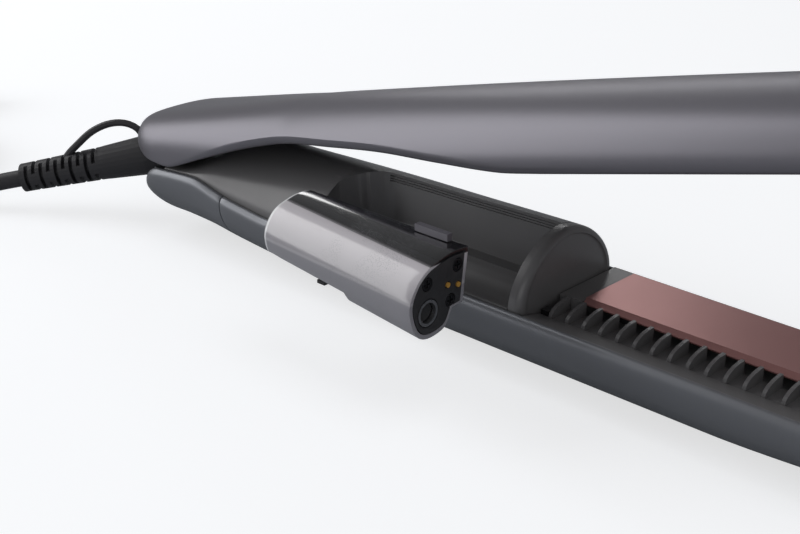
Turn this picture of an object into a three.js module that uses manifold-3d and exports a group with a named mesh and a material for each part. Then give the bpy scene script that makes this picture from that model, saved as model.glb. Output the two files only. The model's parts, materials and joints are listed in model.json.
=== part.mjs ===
// Steam hair straightener, standing open on a table with its water tank pulled out.
// Millimetres, +Z up, +X from the hinge to the tips, -Y the side that the tank leaves by.
// It is drawn from the hinge pin, then moved so that the origin is in the middle of the flat underside.
import * as THREE from 'three';
import { mergeVertices } from 'three/addons/utils/BufferGeometryUtils.js';
import Module from 'manifold-3d';

const wasm = await Module();
wasm.setup();

// The two arms
const openAngle = THREE.MathUtils.degToRad(14);
const hingeHeight = 39;
const closingHeight = 25;
const noseX = -16;
const plateFrom = 176;
const plateLength = 92;
const tipLong = 12;
const tipX = plateFrom + plateLength + tipLong;
const armHalfWidth = 26.3;
const rimBelowClosing = 2;
const bevelHeight = 3;
const bevelInset = 1.9;
const shellWall = 2.3;
const innerHalfWidth = armHalfWidth - shellWall;
const shellFloor = 2.2;
const footHalfWidth = 6;
const flatFrom = 96;
const flatTo = 232;
const rearRise = 4.6;
const tipRise = 2.4;
const crownAboveHinge = 10.5;
const crownAboveClosing = hingeHeight - closingHeight + crownAboveHinge;
const scoopRise = 9.5;
const crownWall = 2.2;
const noseRounding = 11;
const noseNarrowing = 5;
const noseBluntness = 2.8;
const cheekHeight = 5.4;
const capSeamX = 30;
const seamGap = 0.3;
const clearance = 0.3;
const overrun = 5;

// Hinge
const pinRadius = 1.8;
const pinHalfLength = 18;
const earRadius = 4.6;
const lowerEarInner = 7.4;
const lowerEarOuter = 11.4;
const upperEarOuter = 16.4;
const springWireRadius = 0.5;
const springTurns = 4;

// Handle housing, its hump and the tank bay
const humpGap = 0.3;
const humpWall = 1.8;
const humpShare = 1.35;
const humpHigh = (hingeHeight - closingHeight) * humpShare;
const humpFullness = 1.8;
const humpBehindNose = 1;
const humpSkirt = 3;
const bayFrom = 76;
const bayTo = 161.5;
const bayWallY = 2.3;
const bayWallThickness = 1.6;
const ledgeHeight = 24.5;
const ledgeWidth = 5;
const troughEdge = 1.1;
const troughHalfWidth = (innerHalfWidth + bayWallY - ledgeWidth - troughEdge) / 2;
const troughDepth = 7.8;
const troughTop = 23.4;
const troughSkin = 0.8;
const grooveDepth = 0.6;
const bulkheadThickness = 5;
const guideBehindBay = 12;
const guideWidth = 0.5;
const guidePitch = 1.1;
const guideBelowTop = 3.2;
const buttonRadius = 2.6;
const buttonAboveClosing = 3.4;
const buttonSunk = 0.1;
const buttonTravel = 0.6;

// Jaws
const plateNear = -4.7;
const plateEdge = 1.7;
const plateWidth = innerHalfWidth - plateEdge - plateNear;
const plateThickness = 2;
const plateTravel = 1;
const plateBevel = 1.6;
const heaterThickness = 1.4;
const heaterInset = 4;
const jawFloor = 15;
const jawPocket = 18;
const combFins = 16;
const combAhead = 5.6;
const combLonger = 6.4;
const combPitch = (plateLength + combLonger) / combFins;
const combFin = 1.2;
const combWidth = 9.2;
const combFrom = plateFrom - combAhead;
const combLow = 20.5;
const combHigh = 24.2;
const combBase = 1.6;
const padWide = 8;
const latchWide = 4;
const latchTravel = 0.8;

// Water tank
const tankLength = 68;
const tankPulledOut = 43.5;
const tankLifted = 7.4;
const tankWall = 1.3;
const tankCapThickness = 3.2;
const tankGap = 0.6;
const tankRecess = 3.5;
const tankWide = armHalfWidth + bayWallY - clearance - tankRecess;
const tankTall = 23.8;
const tankTop = 41.8;
const tankStep = 1.6;
const portRadius = 4.1;
const portWall = 0.9;
const screwHeadRadius = 1.9;
const screwHeadHeight = 0.8;
const screwShaftRadius = 1;
const contactRadius = 0.8;
const valveTravel = 1.2;
const guideBlockWide = 2.2;
const guideBlockTall = 2.2;
const fillerLong = 3.2;
const fillerTall = 1.1;

// Inside the arms
const boardThickness = 1.6;
const boardAboveFloor = 2.7;
const boardHalfWidth = 12.4;
const boardLength = 78;
const switchDepth = 1.4;
const switchOver = 4.4;
const switchTall = 5.2;
const pumpLength = 34;
const boilerTall = 5;

// Swivel, boot and hanging loop, along the swivel's own axis
const swivelTurn = THREE.MathUtils.degToRad(40);
const swivelDip = THREE.MathUtils.degToRad(12);
const swivelInside = 2;
const swivelAboveClosing = 3;
const hubReach = 9;
const hubRadius = 6.2;
const neckRadius = 4.2;
const neckInside = 6;
const neckBelowClosing = 3;
const spindleRadius = 3;
const spindleDepth = 8;
const bootTo = 71;
const bootEndRadius = 5.6;
const bootRadii = [[hubReach + hubRadius + clearance, 7.2], [20, 7.7], [30, 7], [36, 6.6], [38, 6.4]];
const slotRows = 10;
const slotFrom = 39.4;
const slotPitch = 3.1;
const slotWidth = 1.5;
const slotCore = 3.6;
const bridgeHalf = 2.2;
const loopRadius = 1.4;
const loopRoute = [[3, 53.5], [5.8, 51], [9.2, 46], [13.4, 38.5], [15, 31], [14, 25], [11, 21], [6, 19.4]];

// Cord: its route as [way from the boot, height], then its coil, tie and plug
const cordRadius = 3.3;
const cordRoute = [
  [0, 13.2], [3.3, 12.5], [6.6, 11.8], [11, 10.8], [16, 9.7], [21, 8.6], [26, 7.6], [31, 6.7],
  [36, 5.9], [41, 5.3], [46, 4.8], [51, 4.5], [56, 4.35], [62, 4.3], [69, 4.3], [76.5, 4.3],
];
const coilPitch = 7.1;
const coilInner = 23;
const fullCoilTurns = 7;
const tieWidth = 8;
const tieThickness = 0.7;
const plugHalfWidth = 17;
const plugBody = 36;
const plugSleeve = 26;
const pinReach = 19;
const pinSpacing = 19;
const plugPinRadius = 2.4;
const pinSocket = 9;

// How finely the curves are cut
const bowlSteps = 16;
const archSteps = 16;
const humpSteps = 20;
const troughSteps = 14;
const finSteps = 6;
const springSteps = 14;
const coilSteps = 24;
const plugRingSides = 24;

const group = new THREE.Group();
const upperArm = new THREE.Group();
upperArm.position.set(0, 0, hingeHeight);
upperArm.rotation.y = -openAngle;
const upperFrame = new THREE.Group();
upperFrame.position.set(0, 0, -hingeHeight);
upperArm.add(upperFrame);
const tank = new THREE.Group();
tank.position.set(0, -tankPulledOut, tankLifted);
group.add(upperArm, tank);

const looks = {
  satinGrey: { color: 0x5a5b60, roughness: 0.42, metalness: 0.25 },
  satinLight: { color: 0x77767e, roughness: 0.4, metalness: 0.3 },
  black: { color: 0x262628, roughness: 0.5, metalness: 0 },
  gloss: { color: 0x2e2b2b, roughness: 0.2, metalness: 0 },
  roseGold: { color: 0x9a6c69, roughness: 0.35, metalness: 0.8 },
  smoke: { color: 0x8a888f, roughness: 0.15, metalness: 0 },
  steel: { color: 0xb4b6b8, roughness: 0.35, metalness: 1 },
  gold: { color: 0xc89a4a, roughness: 0.3, metalness: 1 },
  rubber: { color: 0x3f3e41, roughness: 0.7, metalness: 0 },
  green: { color: 0x2f5d43, roughness: 0.6, metalness: 0 },
  white: { color: 0xd9d8d2, roughness: 0.6, metalness: 0 },
};

// Solids and meshes
function solidOf(geometry) {
  const plain = geometry.clone();
  plain.deleteAttribute('normal');
  plain.deleteAttribute('uv');
  const merged = mergeVertices(plain, 1e-4);
  return new wasm.Manifold(new wasm.Mesh({
    numProp: 3,
    vertProperties: new Float32Array(merged.attributes.position.array),
    triVerts: new Uint32Array(merged.index.array),
  }));
}

function geometryOf(solid) {
  const mesh = solid.getMesh();
  const geometry = new THREE.BufferGeometry();
  const places = new Float32Array(mesh.numVert * 3);
  for (let vertex = 0; vertex < mesh.numVert; vertex += 1) {
    for (let axis = 0; axis < 3; axis += 1) {
      places[vertex * 3 + axis] = mesh.vertProperties[vertex * mesh.numProp + axis];
    }
  }
  geometry.setAttribute('position', new THREE.BufferAttribute(places, 3));
  geometry.setIndex(new THREE.BufferAttribute(new Uint32Array(mesh.triVerts), 1));
  geometry.computeVertexNormals();
  return geometry;
}

function addPart(name, shape, look, parent = group) {
  const geometry = shape instanceof THREE.BufferGeometry ? shape : geometryOf(shape);
  const mesh = new THREE.Mesh(geometry, new THREE.MeshStandardMaterial(looks[look]));
  mesh.name = name;
  parent.add(mesh);
  return mesh;
}

// A smooth value between hand-chosen knots, flat past both ends and without overshoot.
function smooth(knots, at) {
  const last = knots.length - 1;
  if (at <= knots[0][0]) return knots[0][1];
  if (at >= knots[last][0]) return knots[last][1];
  let span = 0;
  while (knots[span + 1][0] < at) span += 1;
  const slope = (from, to) => (knots[to][1] - knots[from][1]) / (knots[to][0] - knots[from][0]);
  const rise = slope(span, span + 1);
  const limit = (value) => {
    if (value * rise <= 0) return 0;
    return Math.sign(rise) * Math.min(Math.abs(value), 3 * Math.abs(rise));
  };
  const startSlope = limit(slope(Math.max(span - 1, 0), span + 1));
  const endSlope = limit(slope(span, Math.min(span + 2, last)));
  const width = knots[span + 1][0] - knots[span][0];
  const t = (at - knots[span][0]) / width;
  const start = (2 * t - 3) * t * t + 1;
  const startTurn = ((t - 2) * t + 1) * t * width;
  const endTurn = (t - 1) * t * t * width;
  const between = start * knots[span][1] + (1 - start) * knots[span + 1][1];
  return between + startTurn * startSlope + endTurn * endSlope;
}

// A closed solid through rings of [y, z] points that stand across X.
function loft(stations, ringAt) {
  const rings = stations.map((x) => ringAt(x));
  const count = rings[0].length;
  const outlines = rings.map((ring) => ring.map(([y, z]) => new THREE.Vector2(y, z)));
  const leftTurning = THREE.ShapeUtils.area(outlines[0]) > 0;
  const places = [];
  rings.forEach((ring, row) => ring.forEach(([y, z]) => places.push(stations[row], y, z)));
  const faces = [];
  const addFace = (flip, a, b, c) => faces.push(...(flip ? [a, c, b] : [a, b, c]));
  for (let row = 0; row + 1 < rings.length; row += 1) {
    for (let column = 0; column < count; column += 1) {
      const a = row * count + column;
      const b = row * count + ((column + 1) % count);
      addFace(leftTurning, a, a + count, b);
      addFace(leftTurning, b, a + count, b + count);
    }
  }
  for (const row of [0, rings.length - 1]) {
    const outline = outlines[row];
    for (const [a, b, c] of THREE.ShapeUtils.triangulateShape(outline, [])) {
      const turn = THREE.ShapeUtils.area([outline[a], outline[b], outline[c]]);
      addFace(row === 0 ? turn > 0 : turn < 0, row * count + a, row * count + b, row * count + c);
    }
  }
  const geometry = new THREE.BufferGeometry();
  geometry.setAttribute('position', new THREE.BufferAttribute(new Float32Array(places), 3));
  geometry.setIndex(faces);
  return solidOf(geometry);
}

// Turns a closed mesh right side out.
function facingOut(geometry) {
  const at = geometry.attributes.position;
  const index = geometry.index.array;
  const corners = [new THREE.Vector3(), new THREE.Vector3(), new THREE.Vector3()];
  let volume = 0;
  for (let face = 0; face < index.length; face += 3) {
    corners.forEach((corner, place) => corner.fromBufferAttribute(at, index[face + place]));
    volume += corners[0].dot(corners[1].clone().cross(corners[2]));
  }
  if (volume >= 0) return geometry;
  for (let face = 0; face < index.length; face += 3) {
    [index[face], index[face + 1]] = [index[face + 1], index[face]];
  }
  return geometry;
}

function prism(points, fromX, toX) {
  return loft([fromX, toX], () => points);
}

function block(fromX, toX, fromY, toY, fromZ, toZ) {
  const geometry = new THREE.BoxGeometry(toX - fromX, toY - fromY, toZ - fromZ);
  geometry.translate((fromX + toX) / 2, (fromY + toY) / 2, (fromZ + toZ) / 2);
  return solidOf(geometry);
}

// A round bar between two points.
function rod(from, to, radius, sides = 20, endRadius = radius) {
  const start = new THREE.Vector3(...from);
  const finish = new THREE.Vector3(...to);
  const along = finish.clone().sub(start);
  const geometry = new THREE.CylinderGeometry(endRadius, radius, along.length(), sides);
  geometry.applyQuaternion(new THREE.Quaternion().setFromUnitVectors(
    new THREE.Vector3(0, 1, 0), along.clone().normalize()));
  const middle = start.add(finish).multiplyScalar(1 / 2);
  geometry.translate(middle.x, middle.y, middle.z);
  return solidOf(geometry);
}

// A revolved profile of [radius, height] points, turned from +Y to the given direction.
function turned(profile, origin, direction, sides = 24) {
  const geometry = new THREE.LatheGeometry(profile.map(([r, h]) => new THREE.Vector2(r, h)), sides);
  geometry.applyQuaternion(new THREE.Quaternion().setFromUnitVectors(
    new THREE.Vector3(0, 1, 0), new THREE.Vector3(...direction).normalize()));
  geometry.translate(...origin);
  return solidOf(facingOut(mergedGeometry(geometry)));
}

function mergedGeometry(geometry) {
  geometry.deleteAttribute('normal');
  geometry.deleteAttribute('uv');
  return mergeVertices(geometry, 1e-4);
}

function tubeAlong(curve, radius, steps, sides) {
  const section = new THREE.Shape();
  for (let side = 0; side < sides; side += 1) {
    const angle = (side / sides) * 2 * Math.PI;
    const place = [radius * Math.cos(angle), radius * Math.sin(angle)];
    if (side === 0) section.moveTo(...place);
    else section.lineTo(...place);
  }
  const geometry = new THREE.ExtrudeGeometry(section, { steps, extrudePath: curve, curveSegments: 1 });
  return facingOut(mergedGeometry(geometry));
}

function stationsBetween(from, to, count) {
  return Array.from({ length: count + 1 }, (unused, index) => from + ((to - from) * index) / count);
}

// The lower arm's case: a bowed trough of a shell with a bevelled rim
const rimHeight = closingHeight - rimBelowClosing;
const rimLevelFrom = capSeamX * 1.7;
const rimKnots = [
  [noseX, rimHeight + cheekHeight * 0.5],
  [0, rimHeight + cheekHeight * 0.85],
  [noseX + capSeamX, rimHeight + cheekHeight],
  [capSeamX, rimHeight + cheekHeight * 0.42],
  [rimLevelFrom, rimHeight],
];
const footDepth = rimHeight * (1 / Math.sqrt(1 - (footHalfWidth / armHalfWidth) ** 2) - 1);
const bottomKnots = [[0, rearRise], [flatFrom, -footDepth], [flatTo, -footDepth], [tipX, tipRise]];

function rimAt(x) {
  return smooth(rimKnots, x);
}

function bottomAt(x) {
  return smooth(bottomKnots, x);
}

// How much of its full height an arm has this far from its rounded end.
function blunt(left) {
  return Math.max(0, 1 - Math.max(0, left) ** noseBluntness) ** (1 / noseBluntness);
}

function noseShare(x) {
  return blunt((noseX + noseRounding - x) / noseRounding);
}

function tipShare(x) {
  return blunt((x - tipX + noseRounding) / noseRounding);
}

// Points of a half ellipse that hangs from one side to the other.
function bowl(halfWidth, levelZ, depth, steps) {
  return Array.from({ length: steps + 1 }, (unused, step) => {
    const angle = (Math.PI * step) / steps;
    return [-halfWidth * Math.cos(angle), levelZ - depth * Math.sin(angle)];
  });
}

const endShare = 0.12;

function lowerRing(x) {
  const share = Math.max(endShare, Math.min(noseShare(x), tipShare(x)));
  const middle = (rimAt(x) + bottomAt(x)) / 2;
  const rim = middle + (rimAt(x) - middle) * share;
  const bottom = middle - (middle - bottomAt(x)) * share;
  const halfWidth = armHalfWidth - noseNarrowing * (1 - share);
  const level = rim - bevelHeight * share;
  const rounded = bowl(halfWidth, level, level - bottom, bowlSteps);
  return [[-halfWidth + bevelInset, rim], ...rounded, [halfWidth - bevelInset, rim]];
}

function lowerInnerRing(x) {
  const level = rimAt(x) - bevelHeight;
  const rounded = bowl(innerHalfWidth, level, level - bottomAt(x) - shellFloor, bowlSteps);
  return [[-innerHalfWidth, rimAt(x) + overrun], ...rounded, [innerHalfWidth, rimAt(x) + overrun]];
}

const endStations = [0, 0.03, 0.1, 0.25, 0.45, 0.7, 1];
const rearStations = endStations.map((share) => noseX + noseRounding * share);
const tipStations = endStations.map((share) => tipX - noseRounding * share).reverse();
const capStations = [...rearStations, ...stationsBetween(0, capSeamX, 5)];
const onward = (from, to, count) => stationsBetween(from, to, count).slice(1);
const armStations = [...stationsBetween(capSeamX, flatFrom, 6), ...onward(flatFrom, flatTo, 4)];
const underside = block(noseX - overrun, tipX + overrun, -footHalfWidth, footHalfWidth, -overrun, 0);

// The tip is a separate cap, so the long shell stops short of it.
const jawEndWallThickness = clearance * 3;
const jawEnd = plateFrom + plateLength + clearance + jawEndWallThickness;
const shellStations = [...armStations, jawEnd];
const lowerOuter = loft(shellStations, lowerRing);
const lowerInner = loft([capSeamX - overrun, ...shellStations, jawEnd + overrun], lowerInnerRing);
addPart('lower_shell', lowerOuter.subtract(lowerInner).subtract(underside), 'satinGrey');

// The swivel's hub sticks out of the rear cap, above the table and towards the tank's side.
const swivelCentre = new THREE.Vector3(noseX + swivelInside, 0, closingHeight + swivelAboveClosing);
const swivelAxis = new THREE.Vector3(
  -Math.cos(swivelTurn) * Math.cos(swivelDip),
  -Math.sin(swivelTurn) * Math.cos(swivelDip),
  -Math.sin(swivelDip));
const neckFoot = [noseX + neckInside, 0, closingHeight - neckBelowClosing];
const hubPlace = swivelCentre.clone().addScaledVector(swivelAxis, hubReach);
const neck = (gap) => rod(hubPlace.toArray(), neckFoot, neckRadius + gap, 24);

const capOuter = loft([...capStations.slice(0, -1), capSeamX - seamGap], lowerRing);
const capHollow = [
  noseX + noseRounding / 2, ...stationsBetween(noseX + noseRounding, capSeamX, 5), capSeamX + overrun,
];
const capInner = loft(capHollow, (x) => {
  const ring = lowerInnerRing(x);
  const squeeze = 1 - (1 - noseShare(x)) / 2;
  return ring.map(([y, z]) => [y * squeeze, z]);
});
addPart('lower_end_cap', capOuter.subtract(capInner).subtract(neck(clearance)), 'satinGrey');

// The upper arm's shell, drawn shut: an arch with a scooped edge over the handle
const upperNoseX = noseX - 1.4;
const upperRim = closingHeight + rimBelowClosing;
const crown = closingHeight + crownAboveClosing;
const scoopShares = [[-0.05, 0.38], [0, 0.28], [0.1, 0.55], [0.23, 0.87], [0.35, 1], [0.48, 0.87],
  [0.625, 0.65], [0.77, 0.25], [0.91, 0.03], [1, 0]];
const scoopKnots = scoopShares.map(([along, high]) => [along * plateFrom, upperRim + high * scoopRise]);
const crownShares = [[0, 1], [0.27, 1], [0.56, 0.975], [0.88, 0.93], [1, 0.9]];
const crownKnots = crownShares.map(([along, high]) => [
  along * tipX, closingHeight + high * crownAboveClosing]);
const upperLevel = upperRim + bevelHeight;

function archPoints(halfWidth, level, top, from, steps) {
  const first = Math.asin(Math.max(0, (from - level) / (top - level)));
  return Array.from({ length: steps + 1 }, (unused, step) => {
    const angle = first + ((Math.PI - 2 * first) * step) / steps;
    return [-halfWidth * Math.cos(angle), level + (top - level) * Math.sin(angle)];
  });
}

function upperRing(x) {
  const share = Math.max(endShare, Math.min(noseShare(x - upperNoseX + noseX), tipShare(x)));
  const edge = smooth(scoopKnots, x);
  const top = smooth(crownKnots, x);
  const arch = archPoints(armHalfWidth, upperLevel, top, edge + bevelHeight, archSteps);
  const foot = -arch[0][0] - bevelInset;
  const middle = (edge + top) / 2;
  const squeeze = 1 - (noseNarrowing / armHalfWidth) * (1 - share);
  return [[-foot, edge], ...arch, [foot, edge]].map(([y, z]) => [y * squeeze, middle + (z - middle) * share]);
}

function upperInnerRing(x) {
  const top = smooth(crownKnots, x) - crownWall;
  const low = smooth(scoopKnots, x) - overrun;
  const arch = archPoints(innerHalfWidth, upperLevel, top, upperLevel, archSteps);
  return [[-innerHalfWidth, low], ...arch, [innerHalfWidth, low]];
}

const upperRear = upperNoseX + noseRounding;
const upperStations = [...rearStations.map((x) => x + upperNoseX - noseX), 0,
  ...onward(0, plateFrom, 14), ...onward(plateFrom, jawEnd, 3)];
const upperOuter = loft(upperStations, upperRing);
const upperHollow = [
  upperRear, ...stationsBetween(0, plateFrom, 8), ...onward(plateFrom, jawEnd, 2), jawEnd + overrun,
];
const upperInner = loft(upperHollow, upperInnerRing);
const pinHole = rod([0, -pinHalfLength - clearance, hingeHeight], [0, pinHalfLength + clearance, hingeHeight],
  pinRadius + clearance, 16);
let upperShell = upperOuter.subtract(upperInner);
for (const side of [-1, 1]) {
  const inner = side * (lowerEarOuter + clearance);
  const outer = side * upperEarOuter;
  const eye = rod([0, inner, hingeHeight], [0, outer, hingeHeight], earRadius, 20);
  const [from, to] = [Math.min(inner, outer), Math.max(inner, outer)];
  const web = block(-earRadius, earRadius, from, to, hingeHeight, crown);
  upperShell = upperShell.add(eye.add(web).intersect(upperOuter));
}
addPart('upper_shell', upperShell.subtract(pinHole), 'satinLight', upperFrame);

// The handle housing: a hollow hump with the tank's bay cut out of its near side
const humpHalfWidth = innerHalfWidth - humpGap;
const humpStart = noseX + noseRounding + humpBehindNose;
const humpShares = [[0, 0.2], [0.06, 0.3], [0.15, 0.68], [0.29, 0.8], [0.42, 0.86], [0.6, 0.92], [0.77, 0.95],
  [0.92, 0.985], [1, 1]];
const humpKnots = humpShares.map(([along, high]) => [
  humpStart + along * (bayTo - humpStart), closingHeight + high * humpHigh]);

function humpRing(x, inset, skirtTo) {
  const halfWidth = humpHalfWidth - inset;
  const base = rimAt(x) + clearance;
  const high = smooth(humpKnots, x) - inset - base;
  const arch = Array.from({ length: humpSteps + 1 }, (unused, step) => {
    const angle = (Math.PI * step) / humpSteps;
    const across = Math.sign(Math.cos(angle)) * Math.abs(Math.cos(angle)) ** (2 / humpFullness);
    return [-halfWidth * across, base + Math.max(high, humpWall) * Math.sin(angle) ** (2 / humpFullness)];
  });
  return [[-halfWidth, skirtTo(x)], ...arch, [halfWidth, skirtTo(x)]];
}

const humpStations = [...stationsBetween(humpStart, rimLevelFrom, 6), ...onward(rimLevelFrom, bayTo, 6)];
const troughMiddle = bayWallY - ledgeWidth - troughHalfWidth;
const troughFloor = troughTop - troughDepth - troughSkin;
const skirtLevel = (x) => rimAt(x) - humpSkirt;
const openBelow = (x) => skirtLevel(x) - overrun;
const humpOuter = loft(humpStations, (x) => humpRing(x, 0, skirtLevel));
const humpDeep = loft(humpStations, (x) => humpRing(x, 0, () => troughFloor));
const hollowStations = [humpStart + humpWall, ...humpStations.slice(1, -1), bayTo - humpWall];
const humpHollow = loft(hollowStations, (x) => humpRing(x, humpWall, openBelow));
const trough = (skin) => bowl(troughHalfWidth + skin, troughTop, troughDepth + skin, troughSteps)
  .map(([y, z]) => [y + troughMiddle, z]).reverse();
const high = crown + overrun;
const bayOutline = [
  [bayWallY, high], [bayWallY, ledgeHeight], [bayWallY - ledgeWidth, ledgeHeight], ...trough(0),
  [-armHalfWidth - overrun, troughTop], [-armHalfWidth - overrun, high],
];
const bayWallBack = bayWallY + bayWallThickness;
const bayBodyOutline = [[bayWallBack, high], [bayWallBack, troughTop - troughSkin],
  [bayWallY - ledgeWidth + troughSkin * 2, troughTop - troughSkin], ...trough(troughSkin).slice(1),
  [-humpHalfWidth, high]];
const bayBody = prism(bayBodyOutline, bayFrom - bayWallThickness, bayTo).intersect(humpDeep);
const bayRoom = prism(bayOutline, bayFrom, bayTo + overrun);
let housing = humpOuter.subtract(humpHollow).add(bayBody).subtract(bayRoom);

// Three fine guide lines run along the wall, under the hump's top.
const guideFrom = bayFrom + guideBehindBay;
for (let line = 0; line < 3; line += 1) {
  const groove = loft([guideFrom, bayTo - humpWall], (x) => {
    const z = smooth(humpKnots, x) - guideBelowTop - line * guidePitch;
    return [[bayWallY - grooveDepth, z], [bayWallY + grooveDepth, z],
      [bayWallY + grooveDepth, z + guideWidth], [bayWallY - grooveDepth, z + guideWidth]];
  });
  housing = housing.subtract(groove);
}

// Two ears stand on the housing and carry the pin.
for (const side of [-1, 1]) {
  const inner = side * lowerEarInner;
  const outer = side * lowerEarOuter;
  const eye = rod([0, inner, hingeHeight], [0, outer, hingeHeight], earRadius, 20);
  const [from, to] = [Math.min(inner, outer), Math.max(inner, outer)];
  const web = block(Math.max(humpStart, -earRadius), earRadius, from, to, rimHeight, hingeHeight);
  housing = housing.add(eye.add(web));
}
const buttonShares = [0.34, 0.46, 0.58, 0.7];
const buttonNames = ['power_button', 'minus_button', 'plus_button', 'steam_button'];
const buttonHeight = closingHeight + buttonAboveClosing;
const buttonPlaces = buttonShares.map((share) => bayFrom + share * (bayTo - bayFrom));
const buttonRod = (x, from, to, radius) => rod([x, from, buttonHeight], [x, to, buttonHeight], radius, 20);
for (const x of buttonPlaces) {
  const hole = buttonRod(x, humpHalfWidth - humpWall * 3, armHalfWidth, buttonRadius + clearance);
  housing = housing.subtract(hole);
}
housing = housing.subtract(pinHole);
addPart('handle_housing', housing, 'black');
buttonPlaces.forEach((x, index) => {
  const cap = buttonRod(x, humpHalfWidth - humpWall * 2, humpHalfWidth - buttonSunk, buttonRadius);
  addPart(buttonNames[index], cap, 'gloss');
});
const hingePin = rod([0, -pinHalfLength, hingeHeight], [0, pinHalfLength, hingeHeight], pinRadius, 20);
addPart('hinge_pin', hingePin, 'steel');

// The bulkhead: a domed end wall between the handle and the jaws
const bulkheadTo = bayTo + clearance + bulkheadThickness;
const domeShares = [[0, 1], [0.62, 1], [0.82, 0.985], [0.94, 0.955], [1, 0.91]];
const domeStations = domeShares.map(([along]) => bayTo + clearance + along * bulkheadThickness);
const domeRing = (x) => {
  const full = humpRing(bayTo, 0, () => jawFloor);
  const share = smooth(domeShares.map(([along, size], index) => [domeStations[index], size]), x);
  return full.map(([y, z]) => [y * share, z <= jawFloor ? z : jawFloor + (z - jawFloor) * share]);
};
const insideLower = loft([bayTo - overrun, tipX], (x) => lowerInnerRing(x).map(([y, z]) => [
  y * (1 - humpGap / innerHalfWidth), z > rimHeight ? high : z + clearance]));
const portPlace = [bayWallY - clearance - tankWide * 0.685, tankTop - tankTall * 0.66];
const contactPlaces = [[-0.35, -0.4], [-0.17, -0.45]].map(([across, down]) => [
  bayWallY - clearance + across * tankWide, tankTop + down * tankTall]);
const along = (from, to, [y, z], radius, sides) => rod([from, y, z], [to, y, z], radius, sides);
let bulkhead = loft(domeStations, domeRing).intersect(insideLower);
const inletDepth = bulkheadThickness * 0.6;
const inletTo = bayTo + clearance + inletDepth;
bulkhead = bulkhead.subtract(along(bayTo, inletTo + clearance, portPlace, portRadius + clearance, 24));
contactPlaces.forEach((place, index) => {
  bulkhead = bulkhead.subtract(along(bayTo, inletTo, place, contactRadius + clearance, 12));
  const pin = along(bayTo + clearance, inletTo - clearance, place, contactRadius, 12);
  addPart(`arm_contact_${index + 1}`, pin, 'gold');
});
addPart('bulkhead', bulkhead, 'black');
const inletProfile = [[portRadius - portWall * 2, 0], [portRadius, 0], [portRadius, inletDepth],
  [portRadius - portWall * 2, inletDepth], [portRadius - portWall * 2, 0]];
addPart('inlet_seal', turned(inletProfile, [bayTo + clearance, ...portPlace], [1, 0, 0]), 'rubber');

// Each jaw is drawn as the lower one; the upper one is its mirror image in the closing plane.
const jawFrom = bulkheadTo + clearance;
const plateTo = plateFrom + plateLength;
const plateFar = plateNear + plateWidth;
const combNear = plateNear - clearance * 2 - combWidth;
const combBack = combNear - clearance;
const jawTop = closingHeight - clearance * 4;
const acrossTo = (top) => [[-innerHalfWidth, jawFloor], [innerHalfWidth, jawFloor], [innerHalfWidth, top]];
const jawOutline = [...acrossTo(jawTop), [plateFar + clearance, jawTop], [plateFar + clearance, jawPocket],
  [combBack, jawPocket], [combBack, combLow], [-innerHalfWidth, rimHeight - clearance]];
const jawWall = [...acrossTo(rimHeight), [-innerHalfWidth, rimHeight]];
const jawEndWall = prism(jawWall, plateTo + clearance, jawEnd);
const jawRearOutline = [
  ...acrossTo(jawTop), [plateNear, jawTop], [plateNear, jawPocket], [-innerHalfWidth, jawPocket],
];
const jawRear = prism(jawRearOutline, jawFrom, plateFrom - clearance);
const lowerJaw = prism(jawOutline, jawFrom, jawEnd).add(jawEndWall).add(jawRear).intersect(insideLower);
const mirrorUp = (solid) => solid.mirror([0, 0, 1]).translate([0, 0, 2 * closingHeight]);
const upperJawFrom = jawFrom + bulkheadThickness;
const combSeat = [[combBack, jawFloor], [plateNear - clearance, jawFloor], [plateNear - clearance, combLow],
  [combBack, combLow]];
const insideUpper = loft([bayTo, plateFrom, jawEnd], (x) => upperInnerRing(x).map(([y, z]) => [
  y * (1 - humpGap / innerHalfWidth), z > upperRim ? z - clearance : z]));
const upperJaw = mirrorUp(prism(jawOutline, upperJawFrom, jawEnd).add(jawEndWall)
  .add(prism(jawWall, upperJawFrom, plateFrom - clearance))
  .add(prism(combSeat, upperJawFrom, jawEnd))).intersect(insideUpper);

const plateFoot = closingHeight - plateThickness;
const plateTop = closingHeight - clearance / 2;
const plateOutline = [
  [plateNear, plateFoot], [plateFar, plateFoot], [plateFar, closingHeight - plateBevel / 2],
  [plateFar - plateBevel / 2, plateTop], [plateNear + plateBevel, plateTop], [plateNear, closingHeight - plateBevel],
];
const plate = prism(plateOutline, plateFrom, plateTo);
const heaterTop = plateFoot - clearance;
const heaterFoot = heaterTop - heaterThickness;
const heaterFrom = plateFrom + heaterInset;
const heaterTo = plateTo - heaterInset;
const heater = block(heaterFrom, heaterTo, plateNear + heaterInset, plateFar - heaterInset, heaterFoot, heaterTop);
const padShares = [0.12, 0.88];
const padMiddle = (plateNear + plateFar) / 2;
const padFoot = jawPocket + clearance;
const padTop = heaterFoot - plateTravel - clearance;
const pads = padShares.map((share) => {
  const x = plateFrom + share * plateLength;
  return block(x - padWide / 2, x + padWide / 2, padMiddle - padWide, padMiddle + padWide, padFoot, padTop);
});
addPart('lower_jaw_housing', lowerJaw, 'black');
addPart('lower_plate', plate, 'roseGold');
addPart('lower_heater', heater, 'white');
addPart('upper_jaw_housing', upperJaw, 'black', upperFrame);
addPart('upper_plate', mirrorUp(plate), 'roseGold', upperFrame);
addPart('upper_heater', mirrorUp(heater), 'white', upperFrame);
pads.forEach((pad, index) => {
  const place = index === 0 ? 'rear' : 'front';
  addPart(`lower_${place}_pad`, pad, 'rubber');
  addPart(`upper_${place}_pad`, mirrorUp(pad), 'rubber', upperFrame);
});

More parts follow.
